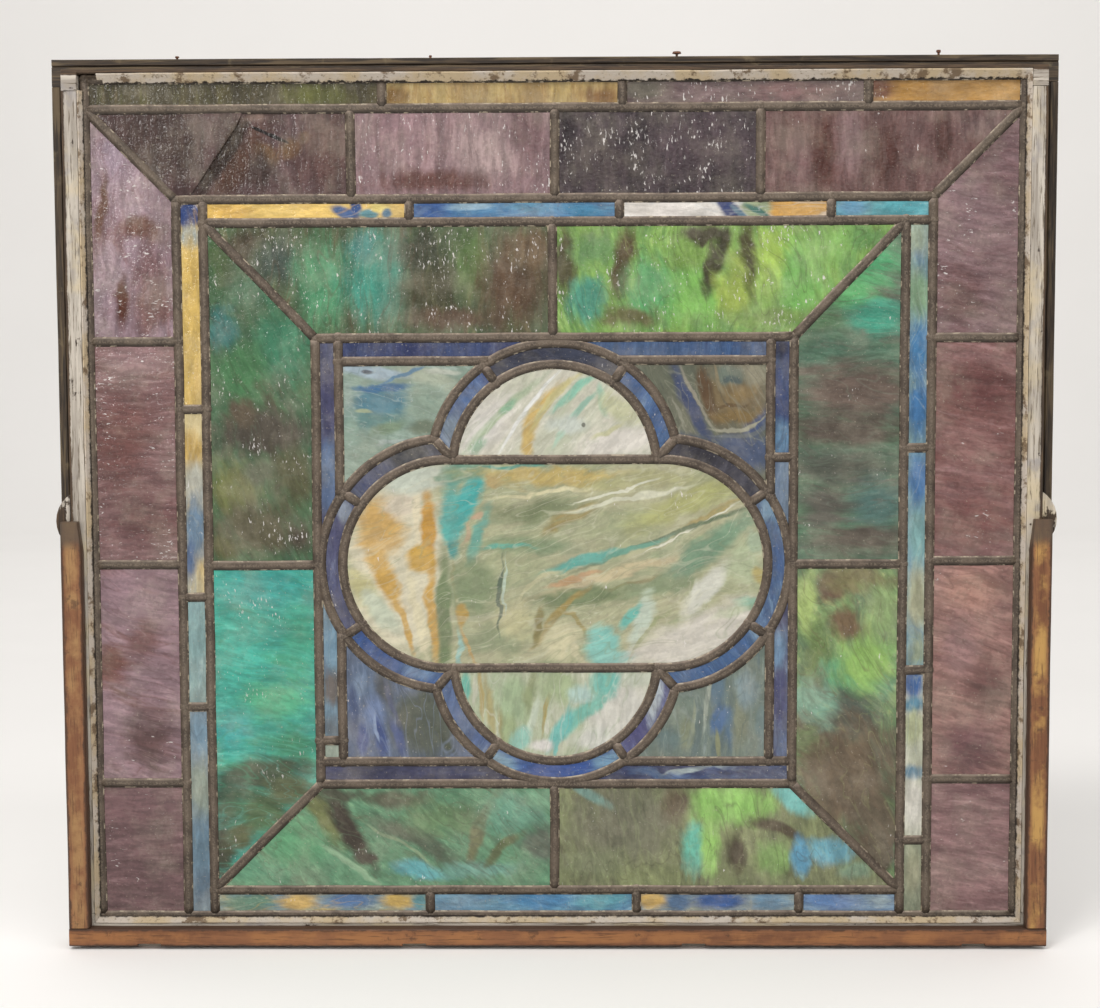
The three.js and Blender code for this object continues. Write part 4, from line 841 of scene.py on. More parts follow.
         (35, 723, 30, 9, 0, (64, 124, 160), 0.6),
         (-80, 727, 18, 4, 0, (130, 160, 180), 0.5)],
    ),
    "glass_ribbon_top_3": (
        90, 4, 6, [(206, 202, 196), (218, 214, 208), (184, 190, 194), (232, 228, 222)],
        [(235, 725, 36, 14, 0, (198, 150, 74), 0.25),
         (195, 725, 14, 14, 0, (140, 152, 120), 0.35),
         (198, 720, 16, 3, -30, (70, 110, 100), 0.4),
         (168, 725, 17, 8, -48, (42, 58, 108), 0.3),
         (180, 719, 12, 3, -40, (90, 120, 140), 0.4),
         (103, 723, 30, 8, 0, (216, 210, 204), 0.5)],
    ),
    "glass_ribbon_top_4": (
        90, 4, 10, [(72, 136, 150), (96, 162, 172), (58, 110, 130), (140, 186, 190)],
        [(288, 724, 14, 8, 0, (90, 140, 170), 0.5),
         (334, 724, 26, 9, 0, (78, 150, 160), 0.6)],
    ),
    "glass_ribbon_left_1": (
        0, 5, 8, [(214, 180, 98), (226, 196, 120), (200, 160, 84), (236, 208, 140)],
        [(-354, 719, 12, 13, 0, (50, 74, 134), 0.35),
         (-352, 698, 10, 9, 0, (150, 170, 176), 0.5),
         (-352, 637, 10, 50, 0, (222, 186, 100), 0.6)],
    ),
    "glass_ribbon_left_2": (
        0, 4, 12, [(206, 176, 110), (190, 186, 160), (150, 160, 160), (226, 214, 180)],
        [(-352, 521, 12, 20, 0, (226, 206, 150), 0.5),
         (-357, 492, 12, 16, 0, (206, 170, 90), 0.5),
         (-353, 458, 12, 20, 0, (190, 190, 176), 0.5),
         (-352, 414, 12, 30, 0, (110, 136, 160), 0.5),
         (-361, 384, 9, 16, 0, (84, 110, 150), 0.5)],
    ),
    "glass_ribbon_left_3": (
        0, 4, 10, [(130, 162, 166), (156, 184, 180), (110, 140, 146), (186, 200, 196)],
        [(-353, 305, 12, 30, 0, (134, 168, 168), 0.6)],
    ),
    "glass_ribbon_left_4": (
        0, 4, 12, [(122, 146, 164), (146, 166, 176), (96, 118, 136), (172, 182, 176)],
        [(-351, 206, 12, 26, 0, (120, 150, 170), 0.5),
         (-352, 156, 12, 24, 0, (150, 164, 150), 0.6),
         (-351, 96, 12, 26, 0, (110, 140, 160), 0.6),
         (-350, 55, 10, 16, 0, (96, 120, 140), 0.6)],
    ),
    "glass_ribbon_right_1": (
        0, 4, 14, [(118, 146, 140), (96, 128, 156), (140, 160, 150), (170, 186, 180)],
        [(352, 694, 12, 16, 0, (146, 160, 140), 0.6),
         (352, 646, 12, 26, 0, (110, 140, 110), 0.6),
         (353, 588, 10, 26, 0, (60, 112, 156), 0.5),
         (353, 530, 10, 26, 0, (58, 104, 150), 0.6)],
    ),
    "glass_ribbon_right_2": (
        0, 4, 12, [(92, 142, 160), (120, 160, 160), (80, 124, 150), (150, 176, 160)],
        [(354, 462, 10, 26, 0, (60, 110, 160), 0.5),
         (355, 404, 10, 26, 0, (100, 156, 160), 0.6),
         (354, 345, 10, 30, 0, (134, 156, 130), 0.6),
         (355, 295, 10, 16, 0, (110, 140, 120), 0.6)],
    ),
    "glass_ribbon_right_3": (
        0, 4, 6, [(172, 176, 154), (190, 190, 174), (138, 150, 146), (208, 206, 194)],
        [(352, 262, 10, 16, 0, (52, 92, 148), 0.4),
         (352, 240, 10, 8, 0, (84, 128, 150), 0.5),
         (352, 215, 10, 16, 0, (164, 170, 134), 0.5),
         (352, 172, 10, 7, 0, (96, 130, 150), 0.5),
         (352, 140, 10, 24, 0, (204, 202, 192), 0.5)],
    ),
    "glass_ribbon_right_4": (
        0, 4, 6, [(124, 132, 110), (142, 148, 124), (100, 110, 90), (172, 172, 148)],
        [(352, 72, 8, 20, 0, (148, 150, 122), 0.6)],
    ),
    "glass_ribbon_bottom_1": (
        90, 4, 12, [(156, 160, 130), (96, 136, 160), (190, 160, 96), (190, 196, 180)],
        [(-305, 43, 24, 8, 0, (96, 130, 110), 0.6),
         (-255, 43, 18, 8, 0, (206, 170, 96), 0.5),
         (-205, 43, 26, 8, 0, (84, 116, 160), 0.5),
         (-156, 43, 16, 8, 0, (196, 164, 90), 0.5),
         (-136, 43, 9, 8, 0, (86, 140, 150), 0.5)],
    ),
    "glass_ribbon_bottom_2": (
        90, 4, 10, [(84, 134, 170), (110, 160, 186), (62, 104, 150), (150, 186, 196)],
        [(-96, 43, 22, 8, 0, (110, 150, 176), 0.6),
         (-17, 43, 30, 8, 0, (70, 130, 176), 0.6),
         (43, 43, 24, 8, 0, (96, 164, 180), 0.6)],
    ),
    "glass_ribbon_bottom_3": (
        90, 4, 12, [(110, 140, 170), (150, 160, 150), (66, 96, 150), (200, 180, 130)],
        [(92, 43, 16, 8, 0, (206, 170, 96), 0.5),
         (122, 43, 12, 8, 0, (90, 120, 156), 0.5),
         (162, 43, 24, 8, 0, (64, 100, 164), 0.5),
         (211, 43, 20, 8, 0, (110, 150, 180), 0.6)],
    ),
    "glass_ribbon_bottom_4": (
        90, 4, 10, [(86, 120, 166), (120, 150, 180), (66, 90, 140), (170, 180, 180)],
        [(271, 43, 24, 8, 0, (90, 126, 176), 0.6),
         (321, 43, 14, 8, 0, (140, 160, 170), 0.6)],
    ),
    "glass_blue_top_left_1": (
        0, 5, 12, [(74, 76, 122), (88, 92, 138), (60, 58, 98), (110, 124, 168)],
        [(-220, 540, 9, 40, 0, (72, 70, 116), 0.6),
         (-219, 472, 9, 26, 0, (92, 116, 168), 0.5),
         (-222, 443, 8, 14, 0, (84, 104, 156), 0.6)],
    ),
    "glass_blue_top_left_2": (
        0, 6, 8, [(56, 66, 122), (70, 84, 140), (44, 48, 94), (96, 112, 166)],
        [(-139, 588, 20, 8, 0, (54, 62, 120), 0.6),
         (-91, 588, 20, 8, 0, (62, 76, 134), 0.6)],
    ),
    "glass_blue_top_right_1": (
        0, 6, 8, [(58, 84, 142), (76, 104, 160), (46, 62, 116), (104, 134, 180)],
        [(103, 588, 22, 8, 0, (66, 92, 146), 0.6),
         (180, 588, 24, 8, 0, (60, 90, 150), 0.6)],
    ),
    "glass_blue_top_right_2": (
        0, 5, 10, [(50, 58, 112), (66, 80, 136), (44, 46, 86), (90, 120, 166)],
        [(220, 587, 9, 9, 0, (44, 48, 86), 0.5),
         (220, 540, 9, 20, 0, (60, 76, 138), 0.6),
         (220, 501, 9, 16, 0, (100, 140, 192), 0.5)],
    ),
    "glass_blue_top_right_3": (
        0, 5, 10, [(98, 118, 160), (120, 136, 170), (80, 96, 140), (150, 160, 184)],
        [],
    ),
    "glass_blue_bottom_right_1": (
        0, 5, 12, [(84, 82, 126), (104, 112, 156), (70, 70, 112), (130, 150, 190)],
        [(219, 335, 8, 16, 0, (80, 74, 116), 0.5),
         (219, 295, 8, 18, 0, (112, 142, 190), 0.5),
         (220, 246, 8, 26, 0, (76, 76, 130), 0.5),
         (219, 201, 8, 12, 0, (96, 110, 160), 0.6)],
    ),
    "glass_blue_bottom_right_2": (
        85, 4, 22, [(52, 60, 116), (72, 86, 142), (44, 46, 90), (150, 166, 196)],
        [(122, 174, 30, 3, 8, (170, 180, 196), 0.4),
         (102, 170, 24, 5, -10, (84, 110, 170), 0.5),
         (162, 178, 26, 3, -10, (150, 160, 180), 0.4),
         (191, 172, 24, 6, 0, (56, 66, 120), 0.6)],
    ),
    "glass_blue_bottom_left_1": (
        90, 5, 10, [(60, 58, 96), (72, 72, 116), (50, 46, 80), (96, 104, 150)],
        [(-184, 174, 26, 6, 0, (56, 56, 92), 0.6),
         (-105, 174, 30, 6, 0, (62, 64, 110), 0.6)],
    ),
    "glass_blue_bottom_left_2": (
        0, 5, 12, [(112, 142, 176), (130, 156, 186), (96, 110, 140), (160, 176, 190)],
        [(-218, 305, 8, 24, 0, (116, 150, 188), 0.5),
         (-219, 256, 8, 18, 0, (110, 98, 100), 0.5),
         (-220, 216, 8, 14, 0, (104, 112, 130), 0.6)],
    ),
    "glass_blue_bottom_left_3": (
        0, 5, 10, [(150, 160, 160), (170, 178, 172), (126, 136, 142), (190, 194, 186)],
        [],
    ),
    "glass_ring_1": (
        40, 4, 10, [(60, 92, 158), (82, 116, 176), (50, 72, 136), (120, 150, 196)],
        [(176, 295, 16, 10, 30, (70, 104, 170), 0.5),
         (201, 320, 10, 16, 0, (140, 166, 200), 0.5)],
    ),
    "glass_ring_2": (
        0, 4, 10, [(70, 96, 152), (92, 120, 170), (54, 72, 126), (130, 160, 196)],
        [(218, 384, 9, 24, 0, (66, 92, 150), 0.6),
         (210, 433, 9, 12, 0, (120, 150, 190), 0.5)],
    ),
    "glass_ring_3": (
        -30, 4, 8, [(60, 56, 72), (72, 68, 86), (50, 46, 60), (92, 88, 106)],
        [(142, 490, 26, 10, -30, (56, 52, 66), 0.6),
         (190, 457, 14, 18, -30, (64, 62, 84), 0.6)],
    ),
    "glass_ring_4": (
        -30, 4, 10, [(62, 92, 156), (84, 116, 176), (52, 74, 132), (120, 146, 190)],
        [(83, 558, 16, 16, -40, (66, 98, 164), 0.5),
         (103, 521, 10, 22, -10, (72, 100, 162), 0.6)],
    ),
    "glass_ring_5": (
        80, 4, 8, [(70, 76, 104), (84, 92, 122), (56, 60, 84), (110, 120, 150)],
        [(-33, 587, 26, 9, 0, (62, 68, 96), 0.6),
         (25, 587, 26, 9, 0, (70, 80, 110), 0.6)],
    ),
    "glass_ring_6": (
        30, 4, 8, [(62, 82, 150), (90, 112, 170), (70, 66, 84), (140, 150, 180)],
        [(-62, 561, 10, 10, -40, (60, 84, 156), 0.5),
         (-82, 540, 10, 14, -30, (76, 104, 168), 0.5),
         (-100, 511, 9, 18, -10, (130, 144, 176), 0.5)],
    ),
    "glass_ring_7": (
        40, 4, 8, [(84, 80, 100), (98, 100, 130), (74, 70, 84), (120, 122, 146)],
        [(-141, 487, 20, 10, 20, (66, 66, 80), 0.5),
         (-180, 466, 20, 14, 40, (54, 66, 120), 0.5)],
    ),
    "glass_ring_8": (
        0, 4, 10, [(82, 82, 126), (98, 100, 146), (66, 62, 100), (136, 140, 176)],
        [(-214, 404, 9, 26, 0, (78, 76, 120), 0.6),
         (-208, 433, 8, 10, 0, (140, 146, 176), 0.5),
         (-211, 355, 8, 18, 0, (72, 76, 130), 0.6)],
    ),
    "glass_ring_9": (
        -40, 4, 10, [(56, 84, 158), (76, 106, 176), (46, 66, 134), (116, 142, 190)],
        [(-172, 295, 20, 14, -30, (54, 84, 160), 0.6),
         (-133, 274, 16, 8, -10, (100, 130, 186), 0.5)],
    ),
    "glass_ring_10": (
        -20, 4, 10, [(92, 110, 164), (108, 128, 178), (74, 90, 146), (140, 156, 190)],
        [(-99, 236, 9, 24, 10, (88, 108, 166), 0.6),
         (-75, 206, 14, 10, -30, (80, 98, 156), 0.6)],
    ),
    "glass_ring_11": (
        90, 4, 10, [(54, 84, 166), (72, 104, 182), (46, 70, 150), (130, 160, 200)],
        [(-55, 184, 16, 8, -20, (120, 156, 196), 0.5),
         (53, 184, 16, 8, 20, (110, 150, 196), 0.5),
         (4, 176, 30, 9, 0, (48, 80, 168), 0.5)],
    ),
    "glass_ring_12": (
        20, 4, 12, [(86, 84, 142), (104, 106, 164), (70, 66, 116), (160, 166, 196)],
        [(83, 211, 12, 14, -30, (84, 80, 140), 0.6),
         (98, 242, 6, 22, -10, (176, 182, 206), 0.45)],
    ),
}


# How each family of glass looks by reflected light: shares of its red, green and blue
TONE = {
    "glass_purple": (0.92, 0.88, 0.84),
    "glass_purple_top_1": (0.8, 0.74, 0.7),
    "glass_purple_top_4": (0.84, 0.8, 0.78),
    "glass_purple_right_4": (1.1, 1.08, 1.0),
    "glass_top_strip": (0.87, 0.83, 0.78),
    "glass_top_strip_2": (0.8, 0.83, 0.82),
    "glass_green_top": (1.04, 0.93, 0.86),
    "glass_green_left_upper": (1.0, 0.87, 0.87),
    "glass_green_left_lower": (1.05, 1.0, 1.0),
    "glass_green_right": (1.25, 1.1, 1.15),
    "glass_green_bottom_right": (1.12, 1.09, 1.12),
    "glass_field": (0.85, 0.88, 0.91),
    "glass_centre": (0.88, 0.9, 0.9),
    "glass_ribbon_left": (0.9, 0.9, 0.9),
    "glass_ribbon_right_2": (1.15, 1.0, 0.98),
    "glass_blue": (0.88, 0.92, 0.86),
    "glass_ring": (0.9, 0.94, 0.88),
    "glass_ring_5": (0.74, 0.72, 0.7),
}


def toned(name, colour):
    """A pane's colour as it looks by reflected light: each family of glass has its own tone."""
    family = max((key for key in TONE if name.startswith(key)), key=len, default=None)
    tone = TONE[family] if family else (1, 1, 1)
    return tuple(min(250, v * s) for v, s in zip(colour, tone))


def dulled(colour, keep):
    """The same colour with only part of its strength, as old glass looks when lit from the front."""
    red, green, blue = colour
    grey = 0.3 * red + 0.55 * green + 0.15 * blue
    return tuple(grey + (v - grey) * keep for v in colour)


def glass_material(name, number):
    """Opalescent glass of one piece: streaks, pools of colour, a rolled surface with painted glints and
    painted shade and highlight along its ripples, and old dust.
    """
    angle, stretch, swirl, colours, pools = GLASS[name]
    keep = STRONG_KEEPS if any(word in name for word in ("green", "blue", "ring")) else OTHER_KEEPS
    calm = "centre" in name or "field" in name
    purple = "purple" in name

    def seen(colour):
        return paint(*dulled(toned(name, colour), keep))
    material, t, shader, place = new_material(name)
    ground, second, dark, light = [seen(c) for c in colours]
    streaks = use(t, STREAKS, Vector=place, Angle=math.radians(angle), Stretch=float(stretch),
                  Swirl=swirl * MM * 2, Seed=number * 0.37, Ground=ground, Second=second, Dark=dark,
                  Light=light)
    colour = streaks["Colour"]
    for x, z, rx, rz, turn, pool, soft, *bow in pools:
        colour = use(t, POOL, Vector=place, Colour=colour, Pool=seen(pool), Middle=at(x, 0, z),
                     Reach=(rx * MM, 1.0, rz * MM), Angle=math.radians(turn), Bow=sum(bow) * MM,
                     Softness=soft, Drift=swirl * MM * 1.9 * soft, Flow=streaks["Flow"])["Colour"]
    colour = t.mix(t.math("MULTIPLY", streaks["Vein"], 0.35), colour, dark)
    colour = t.mix(t.math("MULTIPLY", streaks["Pale"], 0.34 if calm else 0.16), colour, light)
    shade = t.ramp(streaks["Streak"], 0.36, 0.64, 0.86 if calm else 0.72, 1.08 if calm else 1.16)
    colour = t.mix(1.0, colour, t.grey(shade), "MULTIPLY")
    # Pale flecks painted as glints of light, drawn along the rolled ripples.
    rolled = 88 if "purple_left" in name or "purple_right" in name else 4
    colour = use(t, FLECKS, Vector=place, Colour=colour, Seed=number * 0.11, Angle=math.radians(rolled),
                 Amount=FLECKED.get(name, FEW_FLECKS))["Colour"]
    relief = use(t, RELIEF, Vector=place, Angle=math.radians(angle), Stretch=4.0 if purple else 2.5)
    # Painted shade and highlight along the ripples: the colour is darker in the relief's hollows and lighter
    # on its ridges.
    ripple = t.grey(t.ramp(relief["Height"], 0.6, 0.85, 0.82 if purple else 0.92, 1.06))
    grime = use(t, GRIME, Vector=place, Colour=colour, Amount=0.55)
    wire(t, t.mix(1.0, grime["Colour"], ripple, "MULTIPLY"), shader.inputs["Base Color"])
    wire(t, t.ramp(grime["Film"], 0.0, 1.0, 0.12, 0.3), shader.inputs["Roughness"])
    shader.inputs["IOR"].default_value = 1.5
    shader.inputs["Specular IOR Level"].default_value = 0.3
    bumped(t, shader, relief["Height"], 0.0006 if calm else 0.0012)
    return material


def lead_material():
    """Dull lead: painted shade below and painted highlight mixed with dust above, rubbed on the crown, with
    old cement along the edges.
    """
    material, t, shader, place = new_material("old_lead")
    across = t.put("ShaderNodeSeparateXYZ", {0: t.put("ShaderNodeUVMap").outputs[0]}).outputs[1]
    upper = t.put("ShaderNodeAttribute", attribute_name="upper").outputs["Fac"]
    off_middle = t.math("ABSOLUTE", t.math("SUBTRACT", across, 0.5))
    crown = t.math("SUBTRACT", 1.0, t.math("MULTIPLY", off_middle, 2.0))
    blotch = t.noise(place, 60.0, 5.0, 0.65).outputs["Fac"]
    pits = t.noise(place, 520.0, 3.0, 0.6).outputs["Fac"]
    colour = t.mix(t.ramp(blotch, 0.35, 0.65), paint(66, 56, 47), paint(96, 84, 72))
    rubbed = t.math("MULTIPLY", t.ramp(crown, 0.45, 0.9), t.ramp(pits, 0.42, 0.62))
    colour = t.mix(t.math("MULTIPLY", rubbed, 0.5), colour, paint(136, 124, 110))
    # Painted highlight mixed with real dust: the lead is lighter where it faces up towards the light.
    dust_and_highlight = t.math("MULTIPLY", t.ramp(upper, 0.62, 0.86), t.ramp(blotch, 0.3, 0.6, 0.45, 1.0))
    colour = t.mix(t.math("MULTIPLY", dust_and_highlight, 0.75), colour, paint(162, 146, 132))
    # Painted shade: the lead is darker where it faces down, away from the light.
    colour = t.mix(t.ramp(upper, 0.46, 0.2, 0.0, 0.7), colour, paint(40, 34, 28))
    cement = t.math("MULTIPLY", t.ramp(crown, 0.34, 0.12),
                    t.ramp(t.noise(place, 110.0, 5.0, 0.7).outputs["Fac"], 0.52, 0.6))
    colour = t.mix(t.math("MULTIPLY", cement, 0.85), colour, paint(186, 174, 152))
    wire(t, colour, shader.inputs["Base Color"])
    wire(t, t.ramp(pits, 0.3, 0.7, 0.42, 0.7), shader.inputs["Roughness"])
    shader.inputs["Metallic"].default_value = 0.1
    shader.inputs["Specular IOR Level"].default_value = 0.4
    bumped(t, shader, pits, 0.0006)
    return material


def grain(t, place, along):
    """Coordinates drawn out along the grain, which runs along X or Z."""
    squeeze = {"x": (0.06, 1, 1), "z": (1, 1, 0.06)}[along]
    return t.vector("MULTIPLY", place, squeeze)


def paint_material(name, along, worn, bare_from):
    """Old white paint over brown wood, cracked along the grain, worn through and gone past a given place."""
    material, t, shader, place = new_material(name)
    lines = grain(t, place, along)
    apart = t.put("ShaderNodeSeparateXYZ", {0: place}).outputs
    beyond = t.math("ABSOLUTE", apart[0]) if along == "z" else apart[2]
    broad = t.noise(lines, 130.0, 4.0, 0.6).outputs["Fac"]
    fine = t.noise(lines, 460.0, 4.0, 0.7).outputs["Fac"]
    stains = t.noise(place, 16.0, 5.0, 0.6).outputs["Fac"]
    colour = t.mix(t.ramp(broad, 0.38, 0.62), paint(192, 184, 172), paint(150, 142, 132))
    colour = t.mix(t.ramp(stains, 0.5, 0.66, 0, 0.7), colour, paint(196, 180, 146))
    colour = t.mix(t.ramp(t.noise(place, 34.0, 4.0, 0.6).outputs["Fac"], 0.56, 0.7, 0, 0.6), colour,
                   paint(140, 136, 138))
    colour = t.mix(t.ramp(fine, 0.53, 0.64, 0, 0.85), colour, paint(92, 80, 64))
    bare = t.ramp(t.math("ADD", t.noise(place, 42.0, 6.0, 0.7).outputs["Fac"],
                         t.math("MULTIPLY_ADD", fine, 0.3, -0.15)), worn, worn + 0.05)
    ragged = t.math("MULTIPLY_ADD", t.noise(place, 90.0, 4.0, 0.7).outputs["Fac"], 0.003, beyond)
    gone = t.ramp(ragged, (bare_from + 1.0) * MM, (bare_from + 2.2) * MM)
    bare = t.math("MAXIMUM", bare, gone)
    wood = t.mix(t.ramp(fine, 0.4, 0.6), paint(84, 66, 48), paint(54, 42, 32))
    colour = t.mix(bare, colour, wood)
    wire(t, colour, shader.inputs["Base Color"])
    shader.inputs["Roughness"].default_value = 0.8
    height = t.math("SUBTRACT", t.math("MULTIPLY", fine, 0.5), bare)
    bumped(t, shader, height, 0.0006)
    return material


def varnish_material(name, along, middle, reach, worn):
    """Brown varnished wood, dark along its edges and its top end, worn to golden wood between."""
    material, t, shader, place = new_material(name)
    lines = grain(t, place, along)
    across = t.put("ShaderNodeSeparateXYZ", {0: place}).outputs[{"x": 2, "z": 0}[along]]
    aside = t.math("DIVIDE", t.math("SUBTRACT", t.math("ABSOLUTE", across), middle * MM), reach * MM)
    broad = t.noise(lines, 60.0, 5.0, 0.6, 0.3).outputs["Fac"]
    fine = t.noise(lines, 520.0, 4.0, 0.65).outputs["Fac"]
    blotch = t.noise(place, 24.0, 5.0, 0.65).outputs["Fac"]
    colour = t.mix(t.ramp(broad, 0.35, 0.65), paint(140, 94, 62), paint(112, 72, 48))
    golden = t.math("MULTIPLY", t.ramp(blotch, 0.40, 0.62), t.ramp(t.math("ABSOLUTE", aside), 0.9, 0.3))
    colour = t.mix(t.math("MULTIPLY", golden, 0.85), colour, paint(*worn))
    colour = t.mix(t.ramp(fine, 0.52, 0.66, 0, 0.7), colour, paint(84, 56, 38))
    rough = t.noise(place, 70.0, 5.0, 0.7).outputs["Fac"]
    ragged = t.math("MULTIPLY_ADD", rough, 0.7, t.math("ABSOLUTE", aside))
    colour = t.mix(t.ramp(ragged, 1.02, 1.24, 0, 0.85), colour, paint(62, 44, 33))
    height = t.math("MULTIPLY_ADD", blotch, 0.02, t.put("ShaderNodeSeparateXYZ", {0: place}).outputs[2])
    colour = t.mix(t.ramp(height, 0.405, 0.418, 0, 0.85), colour, paint(84, 72, 60))
    colour = t.mix(t.ramp(t.noise(place, 60.0, 5.0, 0.7).outputs["Fac"], 0.6, 0.68, 0, 0.6), colour,
                   paint(74, 52, 38))
    wire(t, colour, shader.inputs["Base Color"])
    wire(t, t.ramp(broad, 0.3, 0.7, 0.4, 0.65), shader.inputs["Roughness"])
    shader.inputs["Specular IOR Level"].default_value = 0.35
    bumped(t, shader, fine, 0.0004)
    return material


def dark_wood_material(name, along):
    """Weathered dark brown wood."""
    material, t, shader, place = new_material(name)
    lines = grain(t, place, along)
    fine = t.noise(lines, 480.0, 5.0, 0.65).outputs["Fac"]
    colour = t.mix(t.ramp(fine, 0.38, 0.64), paint(44, 36, 29), paint(78, 64, 48))
    ridges = t.noise(lines, 230.0, 2.0, 0.5).outputs["Fac"]
    colour = t.mix(t.ramp(ridges, 0.52, 0.62, 0, 0.7), colour, paint(108, 92, 68))
    colour = t.mix(t.ramp(t.noise(place, 40.0, 4.0, 0.6).outputs["Fac"], 0.58, 0.7, 0, 0.5), colour,
                   paint(130, 116, 88))
    wire(t, colour, shader.inputs["Base Color"])
    shader.inputs["Roughness"].default_value = 0.7
    bumped(t, shader, fine, 0.0005)
    return material


def putty_material():
    """Dry putty under flaking white and cream paint, cracked across, with painted shade along its edge next
    to the glass.
    """
    material, t, shader, place = new_material("dry_putty")
    broad = t.noise(place, 20.0, 5.0, 0.65).outputs["Fac"]
    fine = t.noise(place, 240.0, 5.0, 0.65).outputs["Fac"]
    colour = t.mix(t.ramp(broad, 0.4, 0.6), paint(186, 168, 138), paint(190, 180, 168))
    colour = t.mix(t.ramp(t.noise(place, 48.0, 5.0, 0.7).outputs["Fac"], 0.53, 0.62, 0, 0.9), colour,
                   paint(104, 84, 62))
    colour = t.mix(t.ramp(fine, 0.55, 0.7, 0, 0.8), colour, paint(124, 110, 88))
    x, _, z = t.put("ShaderNodeSeparateXYZ", {0: place}).outputs
    above = t.math("SUBTRACT", z, (BORDER_TOP - 4.0) * MM)
    beside = t.math("SUBTRACT", t.math("ABSOLUTE", x), (BORDER_X + 0.5) * MM)
    below = t.math("SUBTRACT", (BORDER_BOTTOM + 0.5) * MM, z)
    rough = t.noise(place, 150.0, 4.0, 0.7).outputs["Fac"]
    even = t.math("MULTIPLY_ADD", rough, 0.004, t.math("MAXIMUM", beside, below))
    ragged = t.math("MAXIMUM", t.math("MULTIPLY_ADD", rough, 0.009, above), t.math("ADD", even, 0.0024))
    # Painted shade: a ragged dark band along the putty's edge next to the glass, where the gap between them
    # lies in shade.
    colour = t.mix(t.ramp(ragged, 0.0062, 0.0048), colour, paint(38, 30, 23))
    wire(t, colour, shader.inputs["Base Color"])
    shader.inputs["Roughness"].default_value = 0.9
    bumped(t, shader, fine, 0.0008)
    return material


def iron_material():
    """Rusted nail iron."""
    material, t, shader, place = new_material("rusted_iron")
    fine = t.noise(place, 600.0, 4.0, 0.6).outputs["Fac"]
    colour = t.mix(t.ramp(fine, 0.4, 0.6), paint(84, 56, 42), paint(120, 74, 52))
    wire(t, colour, shader.inputs["Base Color"])
    shader.inputs["Roughness"].default_value = 0.8
    bumped(t, shader, fine, 0.0004)
    return material


# Lead cames

def came_section():
    """A came cut across: rounded leaves in front and behind, with the groove for the glass between."""
    front = [(0, LEAD_FRONT), (1.6, LEAD_FRONT + 0.2), (3.0, LEAD_FRONT + 0.72), (4.1, LEAD_FRONT + 1.4),
             (4.75, LEAD_FRONT + 2.0), (0.8, GLASS_FRONT - 0.1)]
    back = [(x, GLASS_FRONT + GLASS_BACK - y) for x, y in reversed(front)]
    half = front + back
    other = [(-x, y) for x, y in reversed(half) if x > 0]
    return half + other


SECTION = came_section()


def run_came(ring, sweep, mapping):
    """Sweeps the section from a ring of points with the given spin settings, and closes both ends."""
    bm = bmesh.new()
    verts = [bm.verts.new(p) for p in ring]
    first = [bm.edges.new((verts[k], verts[(k + 1) % len(verts)])) for k in range(len(verts))]
    made = bmesh.ops.spin(bm, geom=verts + first, use_merge=False, use_normal_flip=False,
                          use_duplicate=False, **sweep)
    last = [g for g in made["geom_last"] if isinstance(g, bmesh.types.BMEdge)]
    bmesh.ops.edgeloop_fill(bm, edges=first)
    bmesh.ops.edgeloop_fill(bm, edges=last)
    bmesh.ops.recalc_face_normals(bm, faces=bm.faces)
    uv = bm.loops.layers.uv.new("UVMap")
    for face in bm.faces:
        for loop in face.loops:
            loop[uv].uv = mapping(loop.vert.co)
    return bm


def gathered(parts, whole):
    """Adds a finished part to a larger mesh."""
    mesh = bpy.data.meshes.new("passing")
    parts.to_mesh(mesh)
    parts.free()
    whole.from_mesh(mesh)
    bpy.data.meshes.remove(mesh)


def straight_came(x0, z0, x1, z1):
    """A came from one place to another."""
    a, b = Vector((x0, z0)), Vector((x1, z1))
    along = (b - a).normalized()
    side = Vector((-along.y, along.x))
    ring = [at(a.x + side.x * s, y, a.y + side.y * s) for s, y in SECTION]
    steps = max(1, round((b - a).length / STRAIGHT_STEP))

    def mapping(co):
        p = Vector((co.x / MM, co.z / MM)) - a
        return p.dot(along) * MM, 0.5 + p.dot(side) / CAME_WIDTH
    return run_came(ring, {"cent": ring[0], "axis": (0, 1, 0), "angle": 0.0, "steps": steps,
                           "dvec": at(b.x - a.x, 0, b.y - a.y) / steps}, mapping)


def curved_came(lobe, radius, start, end):
    """A came bent round the middle of a lobe, between two angles in degrees."""
    x, z, _, _ = LOBES[lobe]
    turn = math.radians(start)
    ring = [at(x + math.cos(turn) * (radius + s), y, z + math.sin(turn) * (radius + s)) for s, y in SECTION]
    steps = max(2, round(abs(end - start) / ROUND_STEP))

    def mapping(co):
        p = Vector((co.x / MM - x, co.z / MM - z))
        return math.atan2(p.y, p.x) * radius * MM, 0.5 + (p.length - radius) / CAME_WIDTH
    return run_came(ring, {"cent": at(x, 0, z), "axis": (0, -1, 0), "angle": math.radians(end - start),
                           "dvec": (0, 0, 0), "steps": steps}, mapping)


